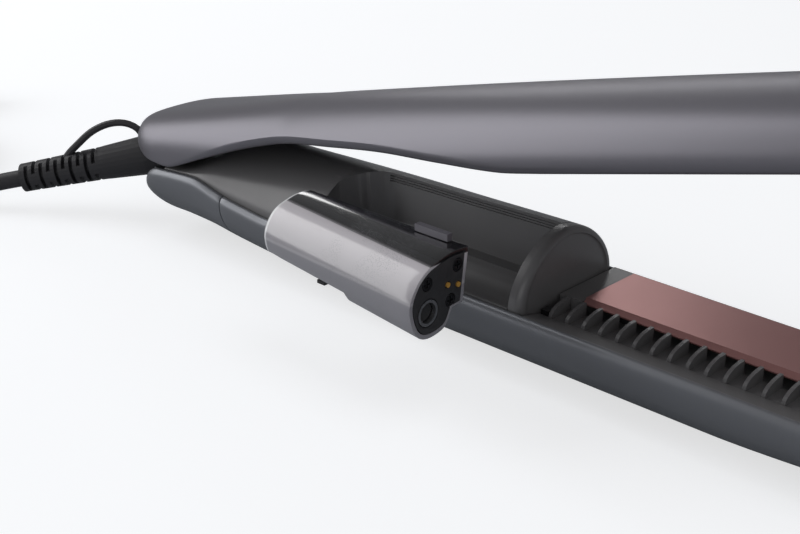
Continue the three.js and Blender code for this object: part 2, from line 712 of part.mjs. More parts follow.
// The comb: quarter-round fins on one bar, with the steam slots between them
const combTo = combFrom + (combFins - 1) * combPitch + combFin;
const combFar = combNear + combWidth;
let comb = block(combFrom, combTo, combNear, combFar, jawPocket + clearance, jawPocket + clearance + combBase);
const finOutline = [[combFar, jawPocket + combBase], [combNear, jawPocket + combBase],
  ...Array.from({ length: finSteps + 1 }, (unused, step) => {
    const angle = (Math.PI * step) / (2 * finSteps);
    return [combFar - combWidth * Math.cos(angle), combLow + (combHigh - combLow) * Math.sin(angle)];
  })];
for (let fin = 0; fin < combFins; fin += 1) {
  const x = combFrom + fin * combPitch;
  comb = comb.add(prism(finOutline, x, x + combFin));
}
addPart('comb', comb, 'black');
const latchFoot = jawPocket + clearance + latchTravel;
const latchTall = latchWide * 0.7;
const latchFrom = jawFrom + clearance;
const latchTo = combFrom - clearance;
addPart('comb_latch', block(latchFrom, latchTo, combNear, combNear + latchWide, latchFoot, latchFoot + latchTall), 'gloss');

// The tips are solid caps.
const tipFrom = jawEnd + seamGap;
const tipRow = [tipFrom, ...tipStations.filter((x) => x > tipFrom)];
addPart('lower_tip_cap', loft(tipRow, lowerRing), 'satinGrey');
addPart('upper_tip_cap', loft(tipRow, upperRing), 'satinLight', upperFrame);

// The water tank, drawn in its seat and then lifted and moved out as one group
const tankOutlineShares = [[0, 0], [-0.08, -0.71], [-0.27, -0.725], [-0.37, -0.92], [-0.5, -0.985], [-0.69, -1],
  [-0.83, -0.95], [-0.915, -0.85], [-0.975, -0.7], [-1, -0.56], [-0.99, -0.45], [-0.95, -0.35], [-0.88, -0.24],
  [-0.78, -0.143], [-0.67, -0.08], [-0.56, -0.046], [-0.42, -0.01], [-0.27, 0.012], [-0.12, 0.012]];
const tankTo = bayTo - tankGap;
const tankFrom = tankTo - tankLength;
const tankRearShares = [0.78, 0.83];
const tankStepShares = [0.53, 0.56];
const tankFlangeShare = -0.8;
const tankSlopeShares = [0.26, 0.8];
const tankStepKnots = tankStepShares.map((share, index) => [
  tankFrom + share * tankLength, index === 0 ? tankStep : 0]);
const tankSide = bayWallY - clearance;

function tankRing(x, inset) {
  const forward = (x - tankFrom) / tankLength;
  const wide = tankWide * (tankRearShares[0] + (1 - tankRearShares[0]) * forward);
  const tall = tankTall * (tankRearShares[1] + (1 - tankRearShares[1]) * forward);
  const lift = smooth(tankStepKnots, x);
  const keep = 1 - (2 * inset) / tankWide;
  return tankOutlineShares.map(([across, down]) => {
    const y = tankSide + across * wide;
    const z = tankTop + down * tall + (down < tankFlangeShare ? lift : 0);
    const middle = [tankSide - wide / 2, tankTop - tall / 2];
    return [middle[0] + (y - middle[0]) * keep, middle[1] + (z - middle[1]) * keep];
  });
}

const tankSlopes = tankSlopeShares.map((share) => tankFrom + tankLength * share);
const tankStations = [tankFrom, tankSlopes[0], ...tankStepKnots.map(([x]) => x), tankSlopes[1], tankTo];
const tankInnerStations = [tankFrom + tankWall, ...tankStations.slice(1), tankTo + overrun];
const tankShell = loft(tankStations, (x) => tankRing(x, 0)).subtract(
  loft(tankInnerStations, (x) => tankRing(x, tankWall)));
addPart('tank_shell', tankShell, 'smoke', tank);

const capFrom = tankTo - tankCapThickness;
let tankCap = loft([capFrom, tankTo], (x) => tankRing(x, tankWall + clearance));
tankCap = tankCap.subtract(along(capFrom - overrun, tankTo + overrun, portPlace, portRadius + clearance, 24));
const screwShares = [[-0.18, -0.19], [-0.7, -0.28], [-0.3, -0.62]];
screwShares.forEach(([across, down], index) => {
  const place = [tankSide + across * tankWide, tankTop + down * tankTall];
  const seat = tankTo - screwHeadHeight - clearance;
  tankCap = tankCap.subtract(along(seat, tankTo + overrun, place, screwHeadRadius + clearance, 16))
    .subtract(along(capFrom - overrun, tankTo, place, screwShaftRadius + clearance, 12));
  const head = along(seat + clearance, tankTo, place, screwHeadRadius, 16);
  const shaft = along(capFrom, seat + clearance * 2, place, screwShaftRadius, 12);
  addPart(`tank_screw_${index + 1}`, head.add(shaft), 'steel', tank);
});
contactPlaces.forEach((place, index) => {
  tankCap = tankCap.subtract(along(capFrom - overrun, tankTo + overrun, place, contactRadius + clearance, 12));
  addPart(`tank_contact_${index + 1}`, along(capFrom, tankTo + clearance, place, contactRadius, 12), 'gold', tank);
});
addPart('tank_cap', tankCap, 'black', tank);
const bushProfile = [[portRadius - portWall, 0], [portRadius, 0], [portRadius, tankCapThickness],
  [portRadius - portWall, tankCapThickness], [portRadius - portWall, 0]];
addPart('outlet_bush', turned(bushProfile, [capFrom, ...portPlace], [1, 0, 0]), 'steel', tank);
const valveRadius = portRadius - portWall - clearance;
addPart('outlet_valve', along(capFrom, capFrom + tankCapThickness * 0.5, portPlace, valveRadius, 20), 'rubber', tank);

// A guide block stands on the tank's top edge, and a filler plug closes a hole under it.
const guideBlockShares = [0.73, 0.92];
const guideBlock = guideBlockShares.map((share) => tankFrom + share * tankLength);
const tankHighestShare = Math.max(...tankOutlineShares.map(([, down]) => down));
const guideBlockFoot = tankTop + tankTall * tankHighestShare + clearance;
const guideBlockNear = tankSide - guideBlockWide * 1.4;
const guideBlockShape = block(...guideBlock, guideBlockNear, guideBlockNear + guideBlockWide, guideBlockFoot,
  guideBlockFoot + guideBlockTall);
addPart('tank_guide', guideBlockShape, 'satinLight', tank);
const fillerShare = 0.33;
const fillerX = tankFrom + fillerShare * tankLength;
const fillerMiddleShare = 0.58;
const tankLowestAt = (x) => Math.min(...tankRing(x, 0).map(([, z]) => z));
const fillerTop = Math.min(tankLowestAt(fillerX - fillerLong), tankLowestAt(fillerX + fillerLong)) - clearance;
const fillerY = tankSide - tankWide * fillerMiddleShare;
const square = (x, y, wide, fromZ, toZ) => block(x - wide / 2, x + wide / 2, y - wide / 2, y + wide / 2, fromZ, toZ);
addPart('filler_plug', square(fillerX, fillerY, fillerLong, fillerTop - fillerTall, fillerTop), 'rubber', tank);

// Inside the arms
const boardFoot = shellFloor + boardAboveFloor;
const boardFrom = flatFrom - clearance;
const boardTop = boardFoot + boardThickness;
const board = block(boardFrom, boardFrom + boardLength, -boardHalfWidth, boardHalfWidth, boardFoot, boardTop);
addPart('control_board', board, 'green');
const buttonFoot = humpHalfWidth - humpWall * 2;
const switchFar = buttonFoot - buttonTravel - clearance;
const switchTopShare = 0.22;
const switchTop = closingHeight + humpHigh * switchTopShare;
const switchFrom = buttonPlaces[0] - switchOver;
const switchTo = buttonPlaces.at(-1) + switchOver;
const switchBoard = block(switchFrom, switchTo, switchFar - switchDepth, switchFar, switchTop - switchTall, switchTop);
addPart('switch_board', switchBoard, 'green');

// The pump fills a share of the room between the bay's wall and the switch board.
const pumpShare = 0.39;
const pumpRadius = pumpShare * Math.min(switchFar - switchDepth - bayWallBack, humpHigh);
const pumpHighShare = 0.233;
const pumpPlace = [bayWallBack + clearance + pumpRadius, closingHeight + humpHigh * pumpHighShare];
const pump = along(buttonPlaces[0], buttonPlaces[0] + pumpLength, pumpPlace, pumpRadius, 24);
addPart('water_pump', pump, 'steel');
const boilerTop = jawFloor - clearance * 2;
const boilerTo = plateFrom + plateLength / 2;
const boiler = block(heaterFrom, boilerTo, combNear, combNear + combWidth * 2, boilerTop - boilerTall, boilerTop);
addPart('steam_boiler', boiler, 'steel');

// The torsion spring winds round the pin between the housing's ears.
const springRadius = pinRadius + clearance + springWireRadius;
const springHalf = lowerEarInner - clearance - springWireRadius * 2;

function windingTube(points, radius, sides, sideways) {
  const places = [];
  const faces = [];
  points.forEach((point, row) => {
    const next = points[Math.min(row + 1, points.length - 1)];
    const before = points[Math.max(row - 1, 0)];
    const tangent = next.clone().sub(before).normalize();
    const first = sideways.clone().sub(tangent.clone().multiplyScalar(tangent.dot(sideways))).normalize();
    const second = tangent.clone().cross(first);
    for (let side = 0; side < sides; side += 1) {
      const angle = (2 * Math.PI * side) / sides;
      const place = point.clone().addScaledVector(first, radius * Math.cos(angle))
        .addScaledVector(second, radius * Math.sin(angle));
      places.push(place.x, place.y, place.z);
    }
  });
  for (let row = 0; row + 1 < points.length; row += 1) {
    for (let side = 0; side < sides; side += 1) {
      const a = row * sides + side;
      const b = row * sides + ((side + 1) % sides);
      faces.push(a, b, a + sides, b, b + sides, a + sides);
    }
  }
  const last = (points.length - 1) * sides;
  for (let side = 1; side + 1 < sides; side += 1) {
    faces.push(0, side + 1, side, last, last + side, last + side + 1);
  }
  const geometry = new THREE.BufferGeometry();
  geometry.setAttribute('position', new THREE.BufferAttribute(new Float32Array(places), 3));
  geometry.setIndex(faces);
  return facingOut(geometry);
}

const springPoints = Array.from({ length: springTurns * springSteps + 1 }, (unused, step) => {
  const turn = step / springSteps;
  const angle = 2 * Math.PI * turn;
  return new THREE.Vector3(springRadius * Math.cos(angle), springHalf * ((2 * turn) / springTurns - 1),
    hingeHeight + springRadius * Math.sin(angle));
});
addPart('hinge_spring', windingTube(springPoints, springWireRadius, 6, new THREE.Vector3(0, 1, 0)), 'steel');

// The swivel, drawn along its own axis and turned into place: a hub on the rear cap, then the cord's boot
const bootFrom = hubReach + hubRadius + clearance;
const bootUp = new THREE.Vector3(0, 0, 1).addScaledVector(swivelAxis, -swivelAxis.z).normalize();
const bootAcross = swivelAxis.clone().cross(bootUp);
const swivelFrame = new THREE.Matrix4().makeBasis(bootUp, bootAcross, swivelAxis).setPosition(swivelCentre);
const inSwivel = (solid) => solid.transform(swivelFrame.elements);
const onAxis = (from, to, radius) => rod([0, 0, from], [0, 0, to], radius, 24);

const ball = solidOf(new THREE.SphereGeometry(hubRadius, 24, 16)).translate([0, 0, hubReach]);
const hub = inSwivel(ball.add(onAxis(hubReach, bootFrom + spindleDepth - clearance, spindleRadius)))
  .add(neck(0));
addPart('swivel_hub', hub, 'rubber');

const bootCorner = slotFrom + slotRows * slotPitch - slotWidth;
const bootSocket = [[0, bootFrom + spindleDepth], [spindleRadius + clearance, bootFrom + spindleDepth],
  [spindleRadius + clearance, bootFrom]];
const bootProfile = [[spindleRadius + clearance, bootFrom], ...bootRadii.map(([away, radius]) => [radius, away]),
  [bootEndRadius, bootCorner], [bootEndRadius, bootTo], [0, bootTo], ...bootSocket];
let boot = turned(bootProfile, [0, 0, 0], [0, 0, 1]);
for (let row = 0; row < slotRows; row += 1) {
  const low = slotFrom + row * slotPitch;
  const disc = onAxis(low, low + slotWidth, armHalfWidth).subtract(onAxis(low - slotWidth, low + slotPitch, slotCore));
  const bridge = block(-bridgeHalf, bridgeHalf, -armHalfWidth, armHalfWidth, low, low + slotWidth);
  boot = boot.subtract(disc.subtract(row % 2 === 0 ? bridge : bridge.rotate([0, 0, 90])));
}
const loopPoints = loopRoute.map(([up, away]) => new THREE.Vector3(up, 0, away));
boot = boot.add(solidOf(tubeAlong(new THREE.CatmullRomCurve3(loopPoints), loopRadius, 24, 8)));
addPart('cord_boot', inSwivel(boot), 'rubber');

// The cord leaves the boot, comes down to the table and is wound into a coil.
const heading = new THREE.Vector3(-Math.cos(swivelTurn), -Math.sin(swivelTurn), 0);
const cordStart = swivelCentre.clone().addScaledVector(swivelAxis, bootTo + clearance).setZ(0);
const cordPoints = cordRoute.map(([away, height]) => cordStart.clone().addScaledVector(heading, away).setZ(height));
const cordCurve = new THREE.CatmullRomCurve3(cordPoints);
addPart('cord', tubeAlong(cordCurve, cordRadius, 20, 12), 'rubber');

const coilStart = swivelTurn - Math.PI / 2;
const coilTurns = fullCoilTurns + (swivelTurn + Math.PI / 2) / (2 * Math.PI);
const coilFoot = tieThickness + clearance + cordRadius;
const coilHeights = [coilFoot, coilFoot + coilPitch];
const coilRadiusAt = (turn) => coilInner + coilPitch * Math.abs(turn - coilTurns / 2);
const coilAngle = (turn) => coilStart - 2 * Math.PI * turn;
const coilEntry = cordPoints.at(-1).clone().addScaledVector(heading, clearance + cordRadius * 2);
const coilCentre = coilEntry.clone().sub(
  new THREE.Vector3(Math.cos(coilStart), Math.sin(coilStart), 0).multiplyScalar(coilRadiusAt(0)));
const coilClimb = 0.5;
const coilPoint = (turn) => {
  const risen = THREE.MathUtils.clamp((turn - coilTurns / 2) / coilClimb + coilClimb, 0, 1);
  return new THREE.Vector3(
    coilCentre.x + coilRadiusAt(turn) * Math.cos(coilAngle(turn)),
    coilCentre.y + coilRadiusAt(turn) * Math.sin(coilAngle(turn)),
    coilHeights[0] + risen * coilPitch);
};
const turnCount = Math.round(coilTurns * coilSteps);
const coilPoints = Array.from({ length: turnCount + 1 }, (unused, step) => coilPoint((coilTurns * step) / turnCount));
const leadOut = new THREE.Vector3(Math.sin(coilAngle(coilTurns)), -Math.cos(coilAngle(coilTurns)), 0);
const coilExit = coilPoints.at(-1).clone().addScaledVector(leadOut, cordRadius * 2);
coilPoints.unshift(coilEntry.clone().addScaledVector(heading, -cordRadius * 2));
coilPoints.push(coilExit);

function leastGap(points, diameter, apart) {
  let least = Infinity;
  points.forEach((point, row) => {
    for (let other = row + apart; other < points.length; other += 1) {
      least = Math.min(least, point.distanceTo(points[other]) - diameter);
    }
  });
  return least;
}

const fineCount = turnCount * 6;
const finePoints = Array.from({ length: fineCount }, (unused, step) => coilPoint((coilTurns * step) / fineCount));
const coilGap = leastGap(finePoints, cordRadius * 2, coilSteps * 3);
console.log(`least gap of the coil to itself: ${coilGap.toFixed(2)} mm`);
addPart('cord_coil', windingTube(coilPoints, cordRadius, 6, new THREE.Vector3(0, 0, 1)), 'rubber');

// A flat tie goes round the turns, across from where the coil climbs.
const tieTurn = Math.floor(coilTurns / 2) + 0.5;
const tieAngle = coilAngle(coilTurns / 2 + 0.5);
const tieInner = coilInner + coilPitch / 2 - cordRadius - clearance * 3;
const tieOuter = coilInner + coilPitch * tieTurn + cordRadius + clearance;
const tieTop = coilHeights[1] + cordRadius + clearance;
const tieBand = (grown, halfWidth) => block(tieInner - grown, tieOuter + grown, -halfWidth, halfWidth,
  tieThickness - grown, tieTop + grown);
const tie = tieBand(tieThickness, tieWidth / 2).subtract(tieBand(0, tieWidth))
  .rotate([0, 0, THREE.MathUtils.radToDeg(tieAngle)]).translate([coilCentre.x, coilCentre.y, 0]);
addPart('cord_tie', tie, 'black');

// The mains plug lies flat beside the coil, in line with the cord's end.
const plugStart = clearance;
const plugBodyFrom = plugStart + plugSleeve;
const plugFace = plugBodyFrom + plugBody;
const plugHigh = coilHeights[1];
const plugShares = [[0, 0.36], [0.12, 0.5], [0.4, 0.84], [0.7, 1], [1, 0.94]];
const plugKnots = plugShares.map(([along, share]) => [plugBodyFrom + along * plugBody, share]);
const plugSquareness = [0.8, 0.6];
const plugSlimness = 0.85;
const squared = (value, power) => Math.sign(value) * Math.abs(value) ** power;
const plugRing = (x) => Array.from({ length: plugRingSides }, (unused, side) => {
  const angle = (2 * Math.PI * side) / plugRingSides;
  const share = smooth(plugKnots, x);
  const across = squared(Math.cos(angle), plugSquareness[0]) * plugHalfWidth * share;
  const up = squared(Math.sin(angle), plugSquareness[1]) * plugHigh * share ** plugSlimness;
  return [across, plugHigh + up];
});
const sleeveRadii = [cordRadius * 1.3, cordRadius * 1.9];
const sleeveEnd = [plugBodyFrom + clearance * 3, 0, plugHigh];
const sleeve = rod([plugStart, 0, plugHigh], sleeveEnd, sleeveRadii[0], 24, sleeveRadii[1]);
const besideCoil = (solid) => solid.rotate([0, 0, THREE.MathUtils.radToDeg(Math.atan2(leadOut.y, leadOut.x))])
  .translate([coilExit.x, coilExit.y, 0]);
let plug = loft(stationsBetween(plugBodyFrom, plugFace, 7), plugRing).add(sleeve);
[-1, 1].forEach((side, index) => {
  const place = [(side * pinSpacing) / 2, plugHigh];
  plug = plug.subtract(along(plugFace - pinSocket, plugFace + overrun, place, plugPinRadius + clearance, 16));
  const pin = along(plugFace - pinSocket + clearance, plugFace + pinReach, place, plugPinRadius, 16);
  addPart(`plug_pin_${index + 1}`, besideCoil(pin), 'steel');
});
addPart('mains_plug', besideCoil(plug), 'black');

// The origin moves to the middle of the flat that the lower arm stands on.
group.position.x = -(flatFrom + flatTo) / 2;

export default group;
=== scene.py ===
# %% [markdown]
# # A steam hair straightener, dressed for its portrait
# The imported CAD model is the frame: every piece here is in the same place and in metres.
# The camera and the cord come first, then the stage, the materials and the pieces.
import json
import math
import bpy
import numpy as np
from mathutils import Matrix, Vector


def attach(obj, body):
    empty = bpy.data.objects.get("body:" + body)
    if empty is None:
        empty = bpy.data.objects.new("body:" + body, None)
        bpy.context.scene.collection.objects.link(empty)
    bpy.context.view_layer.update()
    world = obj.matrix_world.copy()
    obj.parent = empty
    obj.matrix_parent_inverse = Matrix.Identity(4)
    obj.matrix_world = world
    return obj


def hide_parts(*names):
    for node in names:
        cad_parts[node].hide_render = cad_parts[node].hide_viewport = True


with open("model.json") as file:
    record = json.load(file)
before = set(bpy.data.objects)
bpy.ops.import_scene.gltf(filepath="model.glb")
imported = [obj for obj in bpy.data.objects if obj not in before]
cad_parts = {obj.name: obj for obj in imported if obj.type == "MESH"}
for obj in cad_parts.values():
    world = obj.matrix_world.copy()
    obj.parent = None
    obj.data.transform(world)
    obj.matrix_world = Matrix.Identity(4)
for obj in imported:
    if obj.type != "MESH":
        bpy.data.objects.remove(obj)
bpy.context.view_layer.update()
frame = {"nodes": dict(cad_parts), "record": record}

# %% [markdown]
# The driving sizes repeat the CAD model's, in millimetres: X from the hinge pin, Z from the table.
# `place` turns such points into the row frame in metres.
# `opened` first swings them with the upper arm, which is drawn shut.
# %% Sizes
OPEN_ANGLE = math.radians(14)
HINGE_Z = 39.0
CLOSING_Z = 25.0
ORIGIN_X = 164.0
NOSE_X = -16.0
TIP_X = 280.0
ARM_HALF = 26.3
RIM_Z = CLOSING_Z - 2
BEVEL_HIGH = 3.0
BEVEL_IN = 1.9
INNER_HALF = 24.0
FLOOR_THICK = 2.2
CROWN_UP = 24.5
CROWN_WALL = 2.2
NOSE_ROUND = 11.0
NOSE_NARROW = 5.0
NOSE_BLUNT = 2.8
CHEEK = 5.4
CAP_SEAM = 30.0
PLATE_FROM = 176.0
JAW_END = 269.2
BAY_FROM = 76.0
BAY_TO = 161.5
BAY_WALL_Y = 2.3
CORD_R = 3.3
MM = 0.001


def place(points):
    """Points in millimetres, X from the hinge pin, as metres in the row frame: (point - origin) / 1000."""
    points = np.asarray(points, float).reshape(-1, 3)
    return (points - [ORIGIN_X, 0, 0]) * MM


def opened(points):
    """Swings points of the shut upper arm about the hinge pin by the angle that the arm rests at."""
    points = np.asarray(points, float).reshape(-1, 3)
    x, y, z = points.T
    up = z - HINGE_Z
    turn_cos, turn_sin = math.cos(OPEN_ANGLE), math.sin(OPEN_ANGLE)
    return np.column_stack([x * turn_cos - up * turn_sin, y, HINGE_Z + x * turn_sin + up * turn_cos])


def smooth(knots, at):
    """A cubic through the knots whose slopes are held down so that it never passes a knot's value."""
    xs, ys = np.array(knots, float).T
    at = np.clip(at, xs[0], xs[-1])
    span = np.clip(np.searchsorted(xs, at, side="left") - 1, 0, len(xs) - 2)

    def slope(a, b):
        return (ys[b] - ys[a]) / (xs[b] - xs[a])

    rise = slope(span, span + 1)

    def limit(value):
        return 0.0 if value * rise <= 0 else math.copysign(min(abs(value), 3 * abs(rise)), rise)

    start = limit(slope(max(span - 1, 0), span + 1))
    end = limit(slope(span, min(span + 2, len(xs) - 1)))
    width = xs[span + 1] - xs[span]
    t = (at - xs[span]) / width
    keep = (2 * t - 3) * t * t + 1
    return (keep * ys[span] + (1 - keep) * ys[span + 1] + ((t - 2) * t + 1) * t * width * start
            + (t - 1) * t * t * width * end)


# %% [markdown]
# The camera stands beyond the tips, on the near side and above the arms, and looks back towards the hinge.
# %% Camera
CAMERA_AT = Vector((0.2578, -0.3447, 0.2170))
CAMERA_LOOKS = Vector((-0.631, 0.664, -0.400)).normalized()
LENS = 67.5
SENSOR_WIDE = 36
NEAREST = 0.01

scene = bpy.context.scene


def new_object(name, data):
    """An object in the scene for some data."""
    made = bpy.data.objects.new(name, data)
    scene.collection.objects.link(made)
    return made


camera_data = bpy.data.cameras.new("photo_camera")
camera_data.lens = LENS
camera_data.sensor_width = SENSOR_WIDE
camera_data.clip_start = NEAREST
camera = new_object("photo_camera", camera_data)
right = CAMERA_LOOKS.cross(Vector((0, 0, 1))).normalized()
up = right.cross(CAMERA_LOOKS)
camera.matrix_world = Matrix.Translation(CAMERA_AT) @ Matrix((
    (right.x, up.x, -CAMERA_LOOKS.x, 0), (right.y, up.y, -CAMERA_LOOKS.y, 0),
    (right.z, up.z, -CAMERA_LOOKS.z, 0), (0, 0, 0, 1)))
scene.camera = camera
print("camera", tuple(round(v, 3) for v in camera.location), "lens", LENS)


# %% [markdown]
# The cord leaves the boot along the swivel's axis and comes down to the table.
# There it is wound into a coil of two layers.
# `CORD_ROUTE` is the list that the CAD model has: how far from the boot, and how high, in millimetres.
# %% Cord
SWIVEL = np.array([NOSE_X + 2, 0, CLOSING_Z + 3])
SWIVEL_TURN = math.radians(40)
SWIVEL_DIP = math.radians(12)
SWIVEL_AXIS = -np.array([
    math.cos(SWIVEL_TURN) * math.cos(SWIVEL_DIP),
    math.sin(SWIVEL_TURN) * math.cos(SWIVEL_DIP),
    math.sin(SWIVEL_DIP)])
BOOT_TO = 71.0
CLEARANCE = 0.3
CORD_ROUTE = [(0, 13.2), (3.3, 12.5), (6.6, 11.8), (11, 10.8), (16, 9.7), (21, 8.6), (26, 7.6), (31, 6.7),
              (36, 5.9), (41, 5.3), (46, 4.8), (51, 4.5), (56, 4.35), (62, 4.3), (69, 4.3), (76.5, 4.3)]
COIL_PITCH = 7.1
COIL_INNER = 23.0
COIL_START = SWIVEL_TURN - math.pi / 2
COIL_TURNS = 7 + (SWIVEL_TURN + math.pi / 2) / (2 * math.pi)
COIL_STEPS = 40
CLIMB_TURNS = 0.5

heading = -np.array([math.cos(SWIVEL_TURN), math.sin(SWIVEL_TURN), 0])
cord_start = (SWIVEL + SWIVEL_AXIS * (BOOT_TO + CLEARANCE)) * [1, 1, 0]
free_points = [cord_start + heading * away + [0, 0, high] for away, high in CORD_ROUTE]


def coil_radius(turn):
    """The coil's radius at a turn: it goes in by one pitch a turn and, past the middle turn, out again."""
    return COIL_INNER + COIL_PITCH * np.abs(turn - COIL_TURNS / 2)


coil_entry = free_points[-1] + heading * (CLEARANCE + 2 * CORD_R)
coil_centre = coil_entry - coil_radius(0) * np.array([math.cos(COIL_START), math.sin(COIL_START), 0])
turns = np.linspace(0, COIL_TURNS, int(COIL_TURNS * COIL_STEPS) + 1)
angles = COIL_START - 2 * math.pi * turns
climb = np.clip((turns - COIL_TURNS / 2) / CLIMB_TURNS + 0.5, 0, 1) * COIL_PITCH
coil_points = coil_centre + np.column_stack([
    coil_radius(turns) * np.cos(angles), coil_radius(turns) * np.sin(angles), climb])
lead_out = np.array([math.sin(angles[-1]), -math.cos(angles[-1]), 0])
coil_exit = coil_points[-1] + lead_out * 2 * CORD_R
cord_points = place(np.vstack([free_points, coil_points, coil_exit]))


def curve_piece(name, points, radius, body):
    """A round cord of one open spline through the points, ridden on a body. Its bevel is one metre, times
    each point's radius. Blender adds the points' radius to the curve's box, so that is the cord's own."""
    data = bpy.data.curves.new(name, "CURVE")
    data.dimensions = "3D"
    data.bevel_depth = 1.0
    data.bevel_resolution = 6
    data.use_fill_caps = True
    spline = data.splines.new("POLY")
    spline.points.add(len(points) - 1)
    spline.points.foreach_set("co", np.column_stack([points, np.ones(len(points))]).ravel())
    spline.points.foreach_set("radius", np.full(len(points), radius))
    piece = new_object(name, data)
    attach(piece, body)
    return piece


cord = curve_piece("mains_cord", cord_points, CORD_R * MM, "lower_arm")
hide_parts("cord", "cord_coil")

# %% [markdown]
# The stage is a pale floor that the camera sees as plain white where nothing stands.
# Its paint keeps the object's soft shadow, and its glow is for the camera only, so that it lights nothing.
# The near and the rear soft light were placed by working back from bright bands on the tank and the plate.
# The top and the fill one, and the sizes and powers of all four, were tuned.
# %% Floor and light
FLOOR_SIZE = 12.0
FLOOR_PAINT = (0.50, 0.52, 0.55, 1)
FLOOR_GLOW = 0.66
WORLD_TINT = (0.96, 0.97, 1.0, 1)
WORLD_STRENGTH = 0.22


def new_material(name):
    """An empty node material with its output."""
    material = bpy.data.materials.new(name)
    material.use_nodes = True
    nodes = material.node_tree.nodes
    nodes.clear()
    output = nodes.new("ShaderNodeOutputMaterial")
    return material, nodes, material.node_tree.links, output


floor_material, nodes, links, output = new_material("floor_white")
floor_paint = nodes.new("ShaderNodeBsdfDiffuse")
floor_paint.inputs["Color"].default_value = FLOOR_PAINT
floor_glow = nodes.new("ShaderNodeEmission")
floor_glow.inputs["Strength"].default_value = FLOOR_GLOW
camera_ray = nodes.new("ShaderNodeLightPath")
glow_for_camera = nodes.new("ShaderNodeMixShader")
floor_sum = nodes.new("ShaderNodeAddShader")
links.new(camera_ray.outputs["Is Camera Ray"], glow_for_camera.inputs[0])
links.new(floor_glow.outputs[0], glow_for_camera.inputs[2])
links.new(floor_paint.outputs[0], floor_sum.inputs[0])
links.new(glow_for_camera.outputs[0], floor_sum.inputs[1])
links.new(floor_sum.outputs[0], output.inputs["Surface"])

floor_mesh = bpy.data.meshes.new("floor")
half = FLOOR_SIZE / 2
floor_corners = [(-half, -half, 0), (half, -half, 0), (half, half, 0), (-half, half, 0)]
floor_mesh.from_pydata(floor_corners, [], [(0, 1, 2, 3)])
floor_mesh.materials.append(floor_material)
floor = new_object("floor", floor_mesh)

world = bpy.data.worlds.new("studio")
scene.world = world
world.use_nodes = True
world.node_tree.nodes["Background"].inputs["Color"].default_value = WORLD_TINT
world.node_tree.nodes["Background"].inputs["Strength"].default_value = WORLD_STRENGTH
scene.view_settings.view_transform = "Standard"


def softbox(name, towards, distance, size, power):
    """A rectangular light that faces the origin from a direction. Its first side lies along what is left of X
    when X's share along the direction is taken off."""
    back = Vector(towards).normalized()
    side = (Vector((1, 0, 0)) - back * back.x).normalized()
    data = bpy.data.lights.new(name, "AREA")
    data.shape = "RECTANGLE"
    data.size, data.size_y = size
    data.energy = power
    axes = Matrix((side, back.cross(side), back)).transposed()
    new_object(name, data).matrix_world = Matrix.Translation(back * distance) @ axes.to_4x4()


softbox("near_softbox", (-0.92, -0.45, 0.40), 1.3, (0.85, 1.6), 10.5)
softbox("rear_softbox", (-0.64, 0.68, 0.42), 1.3, (0.6, 0.16), 0.9)
softbox("top_softbox", (0.30, 0.10, 1.0), 1.1, (0.9, 0.6), 1.5)
softbox("fill_softbox", (0.55, -0.80, 0.30), 1.4, (1.2, 0.6), 2.0)
print("stage ready")

# %% [markdown]
# Two shader groups are shared, and both read object coordinates, in metres.
# `grain` gives a fine moulded or painted texture.
# `wear` varies colour and gloss slowly over a piece, as handling and moulding do.
# The small functions make the nodes that the groups and the tank's look are built from.
# %% Shader groups
GRAIN_DEEP = 0.0001
SLOW_SCALE = 22.0
FINE_SCALE = 420.0


def group_with(name, inputs, outputs):
    """A shader group with its sockets, and its input and output nodes."""
    tree = bpy.data.node_groups.new(name, "ShaderNodeTree")
    for socket, kind, value in inputs:
        tree.interface.new_socket(socket, in_out="INPUT", socket_type=kind).default_value = value
    for socket, kind in outputs:
        tree.interface.new_socket(socket, in_out="OUTPUT", socket_type=kind)
    return tree, tree.nodes.new("NodeGroupInput"), tree.nodes.new("NodeGroupOutput")


def feed(tree, socket, value):
    """Gives a socket a plain number or colour, or links another node's result to it."""
    if isinstance(value, (float, tuple)):
        socket.default_value = value
    else:
        tree.links.new(value, socket)


def math_node(tree, operation, first, second, clamp=False):
    """The result of one sum, product or the like of two values."""
    node = tree.nodes.new("ShaderNodeMath")
    node.operation = operation
    node.use_clamp = clamp
    feed(tree, node.inputs[0], first)
    feed(tree, node.inputs[1], second)
    return node.outputs[0]


def ramp_node(tree, value, low, high):
    """A smooth step of a value: 0 at low, 1 at high, which may be the smaller of the two."""
    step = tree.nodes.new("ShaderNodeMapRange")
    step.interpolation_type = "SMOOTHSTEP"
    step.inputs["From Min"].default_value = low
    step.inputs["From Max"].default_value = high
    tree.links.new(value, step.inputs["Value"])
    return step.outputs["Result"]


def mix_node(tree, factor, first, second):
    """The first colour where the factor is 0 and the second where it is 1."""
    mix = tree.nodes.new("ShaderNodeMix")
    mix.data_type = "RGBA"
    tree.links.new(factor, mix.inputs["Factor"])
    feed(tree, mix.inputs["A"], first)
    feed(tree, mix.inputs["B"], second)
    return mix.outputs["Result"]


def noise_node(tree, vector, scale, detail=2.0):
    """A noise texture at so many features a metre."""
    noise = tree.nodes.new("ShaderNodeTexNoise")
    noise.inputs["Detail"].default_value = detail
    feed(tree, noise.inputs["Scale"], scale)
    tree.links.new(vector, noise.inputs["Vector"])
    return noise.outputs["Fac"]


def bump_node(tree, height, strength, deep):
    """A normal from a height between 0 and 1 that stands for so many metres."""
    bump = tree.nodes.new("ShaderNodeBump")
    bump.inputs["Distance"].default_value = deep
    feed(tree, bump.inputs["Strength"], strength)
    tree.links.new(height, bump.inputs["Height"])
    return bump.outputs["Normal"]


